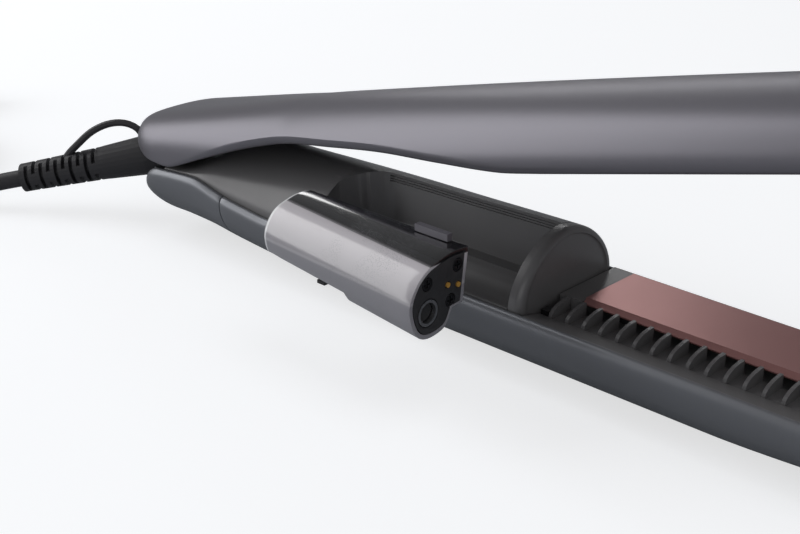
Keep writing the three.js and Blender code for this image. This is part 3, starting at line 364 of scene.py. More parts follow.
grain, grain_in, grain_out = group_with(
    "grain", [("Scale", "NodeSocketFloat", 2500.0), ("Depth", "NodeSocketFloat", 0.2)],
    [("Normal", "NodeSocketVector")])
grain_place = grain.nodes.new("ShaderNodeTexCoord")
grain_noise = noise_node(grain, grain_place.outputs["Object"], grain_in.outputs["Scale"])
grain_bump = bump_node(grain, grain_noise, grain_in.outputs["Depth"], GRAIN_DEEP)
grain.links.new(grain_bump, grain_out.inputs["Normal"])

wear, wear_in, wear_out = group_with(
    "wear", [("Colour", "NodeSocketColor", (0.5, 0.5, 0.5, 1)), ("Roughness", "NodeSocketFloat", 0.4),
             ("Change", "NodeSocketFloat", 0.1)],
    [("Colour", "NodeSocketColor"), ("Roughness", "NodeSocketFloat")])
wear_place = wear.nodes.new("ShaderNodeTexCoord")
slow = noise_node(wear, wear_place.outputs["Object"], SLOW_SCALE, 3.0)
fine = noise_node(wear, wear_place.outputs["Object"], FINE_SCALE)
centred = math_node(wear, "SUBTRACT", math_node(wear, "ADD", slow, fine), 1.0)
swing = math_node(wear, "MULTIPLY", centred, wear_in.outputs["Change"])
rougher = math_node(wear, "ADD", wear_in.outputs["Roughness"], swing, clamp=True)
lighter = math_node(wear, "ADD", swing, 1.0)
tint = wear.nodes.new("ShaderNodeVectorMath")
tint.operation = "SCALE"
wear.links.new(wear_in.outputs["Colour"], tint.inputs[0])
wear.links.new(lighter, tint.inputs["Scale"])
wear.links.new(tint.outputs[0], wear_out.inputs["Colour"])
wear.links.new(rougher, wear_out.inputs["Roughness"])
print("shader groups", [tree.name for tree in (grain, wear)])

# %% [markdown]
# All looks but the tank's go through the same function.
# It gives a colour and a gloss that vary a little, a fine grain, and what else the surface has, given as the
# names of the Principled sockets.
# %% Look function


def linear(*eight_bit):
    """An 8-bit display colour as the linear value that shaders take: the sRGB curve, undone."""
    def one(value):
        value /= 255
        return value / 12.92 if value <= 0.04045 else ((value + 0.055) / 1.055) ** 2.4
    return (*[one(value) for value in eight_bit], 1)


def look(name, eight_bit, roughness, change, grain_scale, grain_depth, sockets=None):
    """A Principled material whose colour, gloss and normal come from the shared groups."""
    material, nodes, links, output = new_material(name)
    shader = nodes.new("ShaderNodeBsdfPrincipled")
    wear_node = nodes.new("ShaderNodeGroup")
    wear_node.node_tree = wear
    wear_node.inputs["Colour"].default_value = linear(*eight_bit)
    wear_node.inputs["Roughness"].default_value = roughness
    wear_node.inputs["Change"].default_value = change
    grain_node = nodes.new("ShaderNodeGroup")
    grain_node.node_tree = grain
    grain_node.inputs["Scale"].default_value = grain_scale
    grain_node.inputs["Depth"].default_value = grain_depth
    links.new(wear_node.outputs["Colour"], shader.inputs["Base Color"])
    links.new(wear_node.outputs["Roughness"], shader.inputs["Roughness"])
    links.new(grain_node.outputs["Normal"], shader.inputs["Normal"])
    for socket, value in (sockets or {}).items():
        shader.inputs[socket].default_value = value
    links.new(shader.outputs[0], output.inputs["Surface"])
    return material


# %% [markdown]
# The tank is smoky clear plastic. Its look goes by Z and X in object coordinates, in metres.
# The top is dark and clear. Below a line that slopes a little, a painted reflection of the near soft light
# makes it pale and less clear; it fades on the way down.
# A pale line runs along the crease, and below it the colour is a little darker.
# The rim at the rear is near white and not clear, and droplets sit in patches between the two ends.
# Each pair is a ramp: the values where a zone begins and where it is full.
# %% Tank look
# The first three place a painted reflection of the near soft light on the tank's side: the slope of its upper
# edge along X, the ramp where it begins and the ramp where it fades on the way down.
REFLECTION_EDGE_SLOPE = 0.016
PAINTED_REFLECTION = (0.0477, 0.0472)
PAINTED_REFLECTION_FADING = (0.0470, 0.0385)
UNDER_CREASE = (0.0383, 0.0379)
RIDGE_ABOVE = (0.0392, 0.0386)
RIDGE_BELOW = (0.0376, 0.0383)
REAR_RIM = (-0.0692, -0.0697)
DROPS_FROM = (-0.054, -0.040)
DROPS_UP_TO = (-0.008, -0.016)
DROP_SCALE = 2300.0
DROP_EDGE = (0.42, 0.2)
DROP_DEEP = 0.0001
DROP_STRENGTH = 0.35
PATCH_SCALE = 70.0
PATCH_EDGE = (0.42, 0.56)
MOST_CLEAR = 0.8
# The plastic is made less clear under the painted reflection and under the droplets.
PAINTED_REFLECTION_SOLID = 0.75
DROP_SOLID = 0.5
TANK_ROUGHNESS = (-0.75, 3.5)


def tank_look(name):
    """Smoky clear plastic with the tank's zones, one of them a painted reflection. Its roughness is the part
    of a smooth step that goes from 0.08 where it is clear to 0.37 where the painted reflection is full."""
    material, nodes, links, output = new_material(name)
    tree = material.node_tree
    where = nodes.new("ShaderNodeTexCoord").outputs["Object"]
    parts = nodes.new("ShaderNodeSeparateXYZ")
    links.new(where, parts.inputs[0])
    height, along = parts.outputs["Z"], parts.outputs["X"]

    def product(first, second):
        return math_node(tree, "MULTIPLY", first, second)

    # The painted reflection of the near soft light begins below a sloping line and fades on the way down.
    level = math_node(tree, "ADD", height, product(along, REFLECTION_EDGE_SLOPE))
    painted_reflection = ramp_node(tree, level, *PAINTED_REFLECTION)
    painted_reflection_faded = ramp_node(tree, level, *PAINTED_REFLECTION_FADING)
    under = ramp_node(tree, height, *UNDER_CREASE)
    ridge = product(ramp_node(tree, height, *RIDGE_ABOVE), ramp_node(tree, height, *RIDGE_BELOW))
    rear = ramp_node(tree, along, *REAR_RIM)
    drops = nodes.new("ShaderNodeTexVoronoi")
    drops.inputs["Scale"].default_value = DROP_SCALE
    links.new(where, drops.inputs["Vector"])
    drop = ramp_node(tree, drops.outputs["Distance"], *DROP_EDGE)
    patch = ramp_node(tree, noise_node(tree, where, PATCH_SCALE), *PATCH_EDGE)
    between = product(ramp_node(tree, along, *DROPS_FROM), ramp_node(tree, along, *DROPS_UP_TO))
    beaded = product(product(drop, patch), between)
    colour = linear(34, 34, 37)
    # Over the dark smoke: the painted reflection, pale and then greyer as it fades, a darker tone below the
    # crease, a pale line along it, the droplets and the near white rear rim.
    for zone, tint in (
            (painted_reflection, linear(224, 219, 224)),
            (product(painted_reflection, painted_reflection_faded), linear(178, 174, 180)),
            (under, linear(164, 162, 169)),
            (product(ridge, 0.6), linear(206, 204, 208)),
            (product(beaded, 0.55), linear(150, 150, 156)),
            (rear, linear(236, 236, 238))):
        colour = mix_node(tree, zone, colour, tint)
    shader = nodes.new("ShaderNodeBsdfPrincipled")
    links.new(colour, shader.inputs["Base Color"])
    # Where the reflection is painted, and under the droplets and the rear rim, the plastic is less clear.
    solid = math_node(tree, "MAXIMUM", product(painted_reflection, PAINTED_REFLECTION_SOLID), product(beaded, DROP_SOLID))
    solid = math_node(tree, "MAXIMUM", solid, rear)
    clear = nodes.new("ShaderNodeMapRange")
    clear.inputs["To Min"].default_value = MOST_CLEAR
    clear.inputs["To Max"].default_value = 0.0
    links.new(solid, clear.inputs["Value"])
    links.new(clear.outputs["Result"], shader.inputs["Transmission Weight"])
    # The roughness rises with the painted reflection.
    links.new(ramp_node(tree, painted_reflection, *TANK_ROUGHNESS), shader.inputs["Roughness"])
    links.new(bump_node(tree, beaded, DROP_STRENGTH, DROP_DEEP), shader.inputs["Normal"])
    for socket, value in (("IOR", 1.5), ("Coat Weight", 1.0), ("Coat Roughness", 0.14), ("Coat IOR", 1.5)):
        shader.inputs[socket].default_value = value
    links.new(shader.outputs[0], output.inputs["Surface"])
    return material


# %% [markdown]
# Each look has a display colour, a roughness, how much both vary over the piece, the grain's features a metre
# and its depth. The names are the record's slots, but for `cap_black` and `black_screw`, which are darker.
# %% Materials
LOOK_TABLE = {
    "satin_grey": ((124, 126, 131), 0.36, 0.03, 5200, 0.08, {"Metallic": 0.45}),
    "satin_light": ((120, 118, 125), 0.38, 0.03, 5200, 0.08, {"Metallic": 0.55}),
    # black_plastic is lifted from black to a mid grey: painted fill light on the housing and the other black
    # parts. cap_black keeps the darker black.
    "black_plastic": ((108, 107, 108), 0.30, 0.05, 3200, 0.25),
    "cap_black": ((52, 52, 54), 0.34, 0.05, 3200, 0.2),
    "gloss_black": ((26, 26, 28), 0.16, 0.04, 1500, 0.03),
    "rose_coating": ((176, 128, 125), 0.33, 0.04, 4200, 0.08, {"Metallic": 0.75}),
    "steel": ((190, 191, 193), 0.28, 0.08, 1800, 0.1, {"Metallic": 1.0}),
    "black_screw": ((52, 52, 55), 0.22, 0.06, 1800, 0.1, {"Metallic": 0.8}),
    "gold_contact": ((244, 186, 92), 0.3, 0.06, 1800, 0.05, {"Metallic": 0.5}),
    "rubber": ((44, 44, 46), 0.62, 0.08, 1800, 0.3),
    "boot_rubber": ((46, 45, 48), 0.5, 0.06, 2200, 0.25),
    "board_green": ((34, 92, 62), 0.3, 0.1, 700, 0.2, {"Coat Weight": 0.5}),
    "ceramic_white": ((216, 213, 206), 0.6, 0.06, 1500, 0.3),
}
LOOKS = {name: look(name, *values) for name, values in LOOK_TABLE.items()}
LOOKS["smoke_tank"] = tank_look("smoke_tank")
slot_of = {part["node"]: part["material_slot"] for part in frame["record"]["subparts"]}
print("materials", sorted(LOOKS))

# %% [markdown]
# The CAD solids are faceted. What stays of them gets its edges rounded by a bevel.
# Its faces are shaded smooth but for edges that turn by more than `SHARP`, without a change to the mesh.
# The spring and the cord boot are left as they are.
# %% Edges
SHARP = math.radians(32)
USUAL_BEVEL = 0.15
BEVELS = {"comb": 0.12, "tank_guide": 0.3, "lower_jaw_housing": 0.25, "upper_jaw_housing": 0.25}


def sharp_edge_group():
    """Geometry nodes that shade smooth and keep edges sharp past the angle."""
    tree = bpy.data.node_groups.new("sharp_edges", "GeometryNodeTree")
    tree.interface.new_socket("Geometry", in_out="INPUT", socket_type="NodeSocketGeometry")
    tree.interface.new_socket("Geometry", in_out="OUTPUT", socket_type="NodeSocketGeometry")
    start, end = tree.nodes.new("NodeGroupInput"), tree.nodes.new("NodeGroupOutput")
    faces = tree.nodes.new("GeometryNodeSetShadeSmooth")
    faces.domain = "FACE"
    edges = tree.nodes.new("GeometryNodeSetShadeSmooth")
    edges.domain = "EDGE"
    edges.inputs["Shade Smooth"].default_value = False
    angle = tree.nodes.new("GeometryNodeInputMeshEdgeAngle")
    past = tree.nodes.new("FunctionNodeCompare")
    past.operation = "GREATER_THAN"
    past.inputs[1].default_value = SHARP
    tree.links.new(start.outputs[0], faces.inputs["Geometry"])
    tree.links.new(faces.outputs[0], edges.inputs["Geometry"])
    tree.links.new(angle.outputs["Unsigned Angle"], past.inputs[0])
    tree.links.new(past.outputs[0], edges.inputs["Selection"])
    tree.links.new(edges.outputs[0], end.inputs[0])
    return tree


sharp_edges = sharp_edge_group()


def finish_edges(piece, width, segments=2):
    """Rounds a piece's sharp edges by a bevel of so many millimetres and shades it smooth."""
    if width:
        bevel = piece.modifiers.new("bevel", "BEVEL")
        bevel.width = width * MM
        bevel.segments = segments
        bevel.limit_method = "ANGLE"
        bevel.angle_limit = SHARP
        bevel.use_clamp_overlap = True
    shading = piece.modifiers.new("shading", "NODES")
    shading.node_group = sharp_edges


for name, node in frame["nodes"].items():
    for material_slot in node.material_slots:
        material_slot.material = LOOKS[slot_of[name]]
    if name not in ("hinge_spring", "cord_boot"):
        finish_edges(node, BEVELS.get(name, USUAL_BEVEL))
cord.data.materials.append(LOOKS["boot_rubber"])
print("CAD nodes dressed", len(frame["nodes"]))


def mesh_piece(name, points, faces, slot_name, body, bevel=0.3, replaced=()):
    """A piece from row-frame points in metres and faces, with its look, body and rounded edges."""
    mesh = bpy.data.meshes.new(name)
    mesh.from_pydata([tuple(point) for point in points], [], faces)
    mesh.validate()
    mesh.materials.append(LOOKS[slot_name])
    piece = new_object(name, mesh)
    finish_edges(piece, bevel, segments=3)
    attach(piece, body)
    if replaced:
        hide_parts(*replaced)
    return piece


def grid_faces(rows, columns):
    """Quads over a grid of points whose rows are rings, closed round each ring."""
    row, column = np.meshgrid(np.arange(rows - 1), np.arange(columns), indexing="ij")
    a = row * columns + column
    b = row * columns + (column + 1) % columns
    return np.stack([a, b, b + columns, a + columns], axis=-1).reshape(-1, 4).tolist()


def outward(points, faces):
    """The faces, all turned over if the volume that they hold comes out negative: the sum of
    corner . (side x side) over their triangles, six times the volume."""
    points = np.asarray(points)
    volume = 0.0
    for face in faces:
        corners = points[face]
        sides = corners[1:] - corners[0]
        volume += float(np.sum(np.cross(sides[:-1], sides[1:]) @ corners[0]))
    return faces if volume > 0 else [face[::-1] for face in faces]


def stations(*stops):
    """Stations between stops, each (from, to, count)."""
    return np.unique(np.round(np.concatenate([np.linspace(a, b, count) for a, b, count in stops]), 4))


def round_end(at, inward, reach, count=14):
    """Stations that crowd towards a rounded end, evenly in angle: end + reach x (1 - cos angle), inward."""
    return at + inward * reach * (1 - np.cos(np.linspace(0, math.pi / 2, count)))


def on_station(x, outline):
    """A section's (y, z) points as points across X."""
    return np.column_stack([np.full(len(outline), x), outline])


def loft_solid(rows):
    """A closed loft through rings of points, capped at both ends."""
    points, columns = np.vstack(rows), len(rows[0])
    faces = grid_faces(len(rows), columns)
    faces += [list(range(columns))[::-1], list(range(len(points) - columns, len(points)))]
    return points, outward(points, faces)


def moulded(name, solid, slot_name, body, replaced, bevel=0.3, shift=(0, 0, 0), swing=False):
    """A finished piece from a solid in millimetres, a pair of points and faces."""
    points = solid[0] + np.array(shift, float)
    points = place(opened(points) if swing else points)
    return mesh_piece(name, points, solid[1], slot_name, body, bevel, replaced)


# %% [markdown]
# The arms' sections come from a few curves along X, each given by knots: the rims, the bottom and the crown.
# The `NOSE` sizes shape the upper arm's nose, and the `SCOOP` ones its lifted edge over the tank.
# %% Sections of the arms
RIM_KNOTS = [(NOSE_X, RIM_Z + CHEEK * 0.5), (0, RIM_Z + CHEEK * 0.85), (NOSE_X + CAP_SEAM, RIM_Z + CHEEK),
             (CAP_SEAM, RIM_Z + CHEEK * 0.42), (CAP_SEAM * 1.7, RIM_Z)]
FOOT_FROM = 96
FOOT_TO = 232
FOOT_HALF = 6.0
FOOT_DEPTH = RIM_Z * (1 / math.sqrt(1 - (FOOT_HALF / ARM_HALF) ** 2) - 1)
BOTTOM_KNOTS = [(0, 4.6), (FOOT_FROM, -FOOT_DEPTH), (FOOT_TO, -FOOT_DEPTH), (TIP_X, 2.4)]
END_SHARE = 0.12
BOWL_STEPS = 64
UPPER_NOSE = NOSE_X - 2.4
UPPER_NOSE_REACH = 8.0
UPPER_SOLE_REACH = 17.0
NOSE_OUT = 12.0
NOSE_OUT_FROM = 30
NOSE_OUT_OVER = 42
NOSE_OUT_RISE = 14
NOSE_FULL = 2.0
NOSE_FULL_TO = NOSE_X + 75
UPPER_RIM = CLOSING_Z + 2
UPPER_LEVEL = UPPER_RIM + BEVEL_HIGH
SCOOP_RISE = 9.5
SCOOP_SHARES = [(-0.05, 0.38), (0, 0.28), (0.1, 0.55), (0.23, 0.87), (0.35, 1), (0.48, 0.87), (0.625, 0.68),
                (0.77, 0.34), (0.91, 0.03), (1, 0)]
SCOOP_KNOTS = [(along * PLATE_FROM, UPPER_RIM + high * SCOOP_RISE) for along, high in SCOOP_SHARES]
CROWN_SHARES = [(-0.05, 0.93), (0.02, 0.94), (0.27, 0.985), (0.56, 0.975), (0.88, 0.93), (1, 0.9)]
CROWN_KNOTS = [(along * TIP_X, CLOSING_Z + high * CROWN_UP) for along, high in CROWN_SHARES]
ROLL = 7
ROLL_TURNS = np.linspace(math.pi / 2, 0, ROLL + 1)[:-1]
ROLL_LEAST = 0.3
ROLL_KNOTS = [(NOSE_X + 6, 0.0), (NOSE_X + 55, 1.0)]
FOOT_GAP = 0.2
FOOT_SKIN = 0.25
INNER_SHARE = 0.3


def end_share(x, nose=NOSE_X, reach=NOSE_ROUND):
    """How much of its full size an arm has near its rounded ends, a quarter of a blunt oval there:
    (1 - distance ^ NOSE_BLUNT) ^ (1 / NOSE_BLUNT)."""
    rear = max(0.0, (nose + reach - x) / reach)
    tip = max(0.0, (x - TIP_X + NOSE_ROUND) / NOSE_ROUND)
    return max(END_SHARE, max(0.0, 1 - max(rear, tip) ** NOSE_BLUNT) ** (1 / NOSE_BLUNT))


def half_ellipse(half_width, level, depth, steps=BOWL_STEPS):
    """Points from one side to the other of a half ellipse that hangs down from a level."""
    turn = np.linspace(0, math.pi, steps + 1)
    return np.column_stack([-half_width * np.cos(turn), level - depth * np.sin(turn)])


def with_rolls(line, edge, reach):
    """A section's line with a quarter-round roll at both ends, which leads inward to the edge's height."""
    across = line[0, 0] + reach * (1 - np.cos(ROLL_TURNS))
    high = line[0, 1] + (edge - line[0, 1]) * np.sin(ROLL_TURNS)
    start = np.column_stack([across, high])
    return np.vstack([start, line, (start * [-1, 1])[::-1]])


def lower_outside(x):
    """The lower arm's outline: rim, bevel, then the bowl."""
    share = end_share(x)
    middle = (smooth(RIM_KNOTS, x) + smooth(BOTTOM_KNOTS, x)) / 2
    rim = middle + (smooth(RIM_KNOTS, x) - middle) * share
    bottom = middle - (middle - smooth(BOTTOM_KNOTS, x)) * share
    half_width = ARM_HALF - NOSE_NARROW * (1 - share)
    level = rim - BEVEL_HIGH * share
    bowl = half_ellipse(half_width, level, level - bottom)
    bowl[:, 1] = np.maximum(bowl[:, 1], 0)
    return with_rolls(bowl, rim, BEVEL_IN)


def lower_inside(x, squeeze=1.0):
    """The lower arm's hollow, up to the rim."""
    rim = smooth(RIM_KNOTS, x)
    level = rim - BEVEL_HIGH
    depth = level - smooth(BOTTOM_KNOTS, x) - FLOOR_THICK
    bowl = half_ellipse(INNER_HALF, level, depth, BOWL_STEPS + 2 * ROLL - 2)
    return np.vstack([[-INNER_HALF, rim], bowl, [INNER_HALF, rim]]) * [squeeze, 1]


def nosed(points):
    """Points of the upper arm, drawn out behind its nose, most in the middle and above the boot, so that the
    nose is round from above and from the side."""
    x, y, z = points.T
    fade = np.clip((NOSE_OUT_FROM - x) / NOSE_OUT_OVER, 0, 1) ** 2
    middle = 1 - (y / ARM_HALF) ** 2
    high = np.clip((z - UPPER_RIM) / NOSE_OUT_RISE, 0, 1)
    out = NOSE_OUT * fade * middle * high * high * (3 - 2 * high)
    return points - np.outer(out, [1, 0, 0])


def wall(name, rows_out, rows_in, slot_name, body, replaced, swing=False, closed_rear=False):
    """A loft of a wall: outside points and then inside points, back the other way, in every row. Where the
    rear is closed, its two faces stand apart by the wall's thickness instead of meeting in one flat end."""
    rows = [np.vstack([out, inner[::-1]]) for out, inner in zip(rows_out, rows_in)]
    points = np.vstack(rows)
    columns = len(rows[0])
    outside = len(rows_out[0])
    faces = grid_faces(len(rows), columns)
    last = (len(rows) - 1) * columns
    if closed_rear:
        faces.append(list(range(outside))[::-1])
        faces.append(list(range(outside, columns))[::-1])
        faces.append([0, outside - 1, outside, columns - 1])
    else:
        faces += [[c + 1, c, columns - 1 - c, columns - 2 - c] for c in range(outside - 1)]
    for c in range(outside - 1):
        faces.append([last + c, last + c + 1, last + columns - 2 - c, last + columns - 1 - c])
    points = place(opened(points) if swing else points)
    return mesh_piece(name, points, outward(points, faces), slot_name, body, 0.3, replaced)


# %% [markdown]
# The lower arm is a long shell and, behind the seam, an end cap with its rounded nose.
# %% Lower shell
shell_x = stations((CAP_SEAM, FOOT_FROM, 24), (FOOT_FROM, FOOT_TO, 12), (FOOT_TO, JAW_END, 10))
wall("lower_shell_wall", [on_station(x, lower_outside(x)) for x in shell_x],
     [on_station(x, lower_inside(x)) for x in shell_x], "satin_grey", "lower_arm", ["lower_shell"])
cap_rest = stations((NOSE_X + NOSE_ROUND + 1, CAP_SEAM - CLEARANCE, 16))
cap_x = np.concatenate([round_end(NOSE_X, 1, NOSE_ROUND), cap_rest])
cap_in = np.concatenate([np.linspace(NOSE_X + NOSE_ROUND / 2, NOSE_X + NOSE_ROUND, 14), cap_rest])
wall("lower_cap_wall", [on_station(x, lower_outside(x)) for x in cap_x],
     [on_station(x, lower_inside(x, 1 - (1 - end_share(x)) / 2)) for x in cap_in],
     "satin_grey", "lower_arm", ["lower_end_cap"], closed_rear=True)
print("lower shell", len(shell_x), "stations, cap", len(cap_x))

# %% [markdown]
# The upper arm is drawn shut and then swung open with its body. Its hollow follows the scooped edge, and the
# hollow's foot stays a skin inside the edge's roll and a gap inside the hollow's full width.
# %% Upper shell


def upper_arch(x, half_width, top, low, steps):
    """The arch of the upper arm down to a height, fuller than an ellipse near the nose."""
    fullness = 2 + NOSE_FULL * (1 - smooth([(NOSE_X, 0.0), (NOSE_FULL_TO, 1.0)], x))
    first = math.asin(max(0.0, (low - UPPER_LEVEL) / (top - UPPER_LEVEL)) ** (fullness / 2))
    turn = np.linspace(first, math.pi - first, steps + 1)
    across = np.sign(np.cos(turn)) * np.abs(np.cos(turn)) ** (2 / fullness)
    high = UPPER_LEVEL + (top - UPPER_LEVEL) * np.abs(np.sin(turn)) ** (2 / fullness)
    return np.column_stack([-half_width * across, high])


def upper_outside(x):
    """The upper arm's outline: scooped edge, rolled rim, then the arch."""
    share = end_share(x, UPPER_NOSE, UPPER_NOSE_REACH)
    edge, top = smooth(SCOOP_KNOTS, x), smooth(CROWN_KNOTS, x)
    rolled = ROLL_LEAST + (1 - ROLL_LEAST) * smooth(ROLL_KNOTS, x)
    arch = upper_arch(x, ARM_HALF, top, max(UPPER_LEVEL, edge + BEVEL_HIGH * rolled), BOWL_STEPS * 2)
    outline = with_rolls(arch, edge, BEVEL_IN * rolled)
    middle = (edge + top) / 2
    squeeze = 1 - NOSE_NARROW / ARM_HALF * (1 - end_share(x, UPPER_NOSE))
    behind = max(0.0, (UPPER_NOSE + UPPER_SOLE_REACH - x) / UPPER_SOLE_REACH)
    below = math.sqrt(max(0.0, 1 - behind ** 2))
    kept = np.where(outline[:, 1] > middle, share, min(share, max(END_SHARE, below)))
    return np.column_stack([outline[:, 0] * squeeze, middle + (outline[:, 1] - middle) * kept])


def upper_inside(x):
    """The upper arm's hollow, down to the scooped edge."""
    share = end_share(x, UPPER_NOSE)
    edge, top = smooth(SCOOP_KNOTS, x), smooth(CROWN_KNOTS, x) - CROWN_WALL
    low = max(UPPER_LEVEL, edge + BEVEL_HIGH)
    arch = upper_arch(x, INNER_HALF, top, low, BOWL_STEPS * 2 + 2 * ROLL - 2)
    widest = min(INNER_HALF - FOOT_GAP, -upper_outside(x)[0, 0] - FOOT_SKIN)
    foot = max(-arch[0, 0] - FOOT_GAP / 2, widest)
    outline = np.vstack([[-foot, edge], arch, [foot, edge]])
    middle = (edge + top) / 2
    keep = max(INNER_SHARE, share)
    return np.column_stack([outline[:, 0] * keep, middle + (outline[:, 1] - middle) * keep])


upper_rest = stations((UPPER_NOSE + NOSE_ROUND + 1, JAW_END, 110))
upper_x = np.concatenate([round_end(UPPER_NOSE, 1, NOSE_ROUND), upper_rest])
upper_in = np.concatenate([np.linspace(UPPER_NOSE + CROWN_WALL, UPPER_NOSE + NOSE_ROUND, 14), upper_rest])
wall("upper_shell_wall", [nosed(on_station(x, upper_outside(x))) for x in upper_x],
     [nosed(on_station(x, upper_inside(x))) for x in upper_in], "satin_light", "upper_arm", ["upper_shell"],
     swing=True, closed_rear=True)
print("upper shell", len(upper_x), "stations")

# %% [markdown]
# A black tongue lies inside the seam between the lower shell and its end cap, so that no light shows through.
# The tips close both arms.
# %% Seam tongue and tips
TONGUE_HALF = 1.6
TONGUE_THICK = 1.0
TONGUE_GAP = 0.1
TONGUE_LIFT = 0.05
tongue = []
for x in (CAP_SEAM - TONGUE_HALF, CAP_SEAM + TONGUE_HALF):
    level = smooth(RIM_KNOTS, x) - BEVEL_HIGH - CLEARANCE
    depth = level - (smooth(BOTTOM_KNOTS, x) + FLOOR_THICK) - TONGUE_LIFT
    under_side = half_ellipse(INNER_HALF - TONGUE_GAP, level, depth)
    upper_side = half_ellipse(INNER_HALF - TONGUE_GAP - TONGUE_THICK, level, depth - TONGUE_THICK)
    tongue.append(on_station(x, np.vstack([under_side, upper_side[::-1]])))
moulded("seam_tongue", loft_solid(tongue), "black_plastic", "lower_arm", [], 0.1)
tip_x = round_end(TIP_X, -1, TIP_X - JAW_END - CLEARANCE, 18)[::-1]
lower_tip = loft_solid([on_station(x, lower_outside(x)) for x in tip_x])
moulded("lower_tip", lower_tip, "satin_grey", "lower_arm", ["lower_tip_cap"])
upper_tip = loft_solid([on_station(x, upper_outside(x)) for x in tip_x])
moulded("upper_tip", upper_tip, "satin_light", "upper_arm", ["upper_tip_cap"], swing=True)
print("tips", len(tip_x), "stations")

# %% [markdown]
# The moulded pieces with pockets are made from solids that are added and cut away before they are placed.
# Each solid is a pair of points in millimetres and faces, turned outward.
# %% Solids


def prism_solid(outline, x_from, x_to):
    """A section's outline run along X."""
    return loft_solid([on_station(x, outline) for x in (x_from, x_to)])


def box_solid(x, y, z):
    """A block between pairs of X, Y and Z."""
    return prism_solid([(y[0], z[0]), (y[1], z[0]), (y[1], z[1]), (y[0], z[1])], *x)


def rod_solid(start, end, radius, sides=48):
    """A round bar between two points."""
    start, end = np.array(start, float), np.array(end, float)
    along = (end - start) / np.linalg.norm(end - start)
    first = np.cross(along, [0, 0, 1.0] if abs(along[2]) < 0.9 else [1.0, 0, 0])
    first /= np.linalg.norm(first)
    second = np.cross(along, first)
    turn = np.linspace(0, 2 * math.pi, sides, endpoint=False)
    circle = np.outer(np.cos(turn), first) + np.outer(np.sin(turn), second)
    return loft_solid([start + circle * radius, end + circle * radius])


def raw_object(solid):
    """A bare object for a solid."""
    mesh = bpy.data.meshes.new("raw")
    mesh.from_pydata([tuple(point) for point in solid[0]], [], solid[1])
    return new_object("raw", mesh)


def combined(first, *others):
    """The first solid with the others added (UNION), cut away (DIFFERENCE) or kept in common (INTERSECT)."""
    body = raw_object(first)
    tools = []
    for operation, solid in others:
        tools.append(raw_object(solid))
        step = body.modifiers.new("step", "BOOLEAN")
        step.operation = operation
        step.object = tools[-1]
        step.solver = "MANIFOLD"
    mesh = bpy.data.meshes.new_from_object(body.evaluated_get(bpy.context.evaluated_depsgraph_get()))
    points = np.empty(len(mesh.vertices) * 3)
    mesh.vertices.foreach_get("co", points)
    faces = [list(polygon.vertices) for polygon in mesh.polygons]
    for extra in (*tools, body):
        data = extra.data
        bpy.data.objects.remove(extra)
        bpy.data.meshes.remove(data)
    bpy.data.meshes.remove(mesh)
    return points.reshape(-1, 3), faces


# %% [markdown]
# The handle housing is a hollow hump. The tank's bay is cut out of its near side: a wall, a ledge, a trough.
# Guide grooves run along the bay's wall, and holes take the hinge pin and the buttons.
# %% Handle housing
HUMP_HALF = INNER_HALF - CLEARANCE
HUMP_FROM = NOSE_X + NOSE_ROUND + 1
HUMP_WALL = 1.8
HUMP_FULL = 1.8
HUMP_UP = 18.9
HUMP_SHARES = [(0, 0.2), (0.06, 0.3), (0.15, 0.68), (0.29, 0.8), (0.42, 0.86), (0.6, 0.92), (0.77, 0.95),
               (0.92, 0.985), (1, 1)]
HUMP_LONG = BAY_TO - HUMP_FROM
HUMP_KNOTS = [(HUMP_FROM + along * HUMP_LONG, CLOSING_Z + high * HUMP_UP) for along, high in HUMP_SHARES]
LEDGE_Z = 24.5
LEDGE_Y = BAY_WALL_Y - 5
TROUGH_HALF, TROUGH_DEEP, TROUGH_Z, TROUGH_SKIN = 10.1, 7.8, 23.4, 0.8
TROUGH_Y = LEDGE_Y - TROUGH_HALF
HIGH_UP = CLOSING_Z + CROWN_UP + 5
BAY_SKIN = 1.6
BAY_SWEEP = 13.0
BAY_SWEEP_OVER = 15
GROOVES = 3
GROOVE_HALF = 0.6
GROOVE_HIGH = 0.5
GROOVE_DOWN = 1.5
GROOVE_PITCH = 0.9
EAR_IN, EAR_OUT, EAR_R = 7.4, 11.4, 4.6
BUTTON_Z = CLOSING_Z + 3.4
BUTTON_SHARES = (0.34, 0.46, 0.58, 0.7)
BUTTON_DEEP, BUTTON_HOLE_R = 5.4, 2.9
PIN_HALF, PIN_HOLE_R = 18.3, 2.1


def hump_row(x, inset=0.0, skirt=None, steps=96):
    """The hump's section: a full oval arch on a straight skirt."""
    half, base = HUMP_HALF - inset, smooth(RIM_KNOTS, x) + CLEARANCE
    high = max(smooth(HUMP_KNOTS, x) - inset - base, HUMP_WALL)
    turn = np.linspace(0, math.pi, steps + 1)
    across = np.sign(np.cos(turn)) * np.abs(np.cos(turn)) ** (2 / HUMP_FULL)
    arch = np.column_stack([-half * across, base + high * np.abs(np.sin(turn)) ** (2 / HUMP_FULL)])
    skirt = smooth(RIM_KNOTS, x) - 3 if skirt is None else skirt
    return on_station(x, np.vstack([[-half, skirt], arch, [half, skirt]]))


def trough(skin=0.0):
    """The trough's rounded bottom, from the ledge to the near side."""
    return (half_ellipse(TROUGH_HALF + skin, TROUGH_Z, TROUGH_DEEP + skin, 40) + [TROUGH_Y, 0])[::-1]


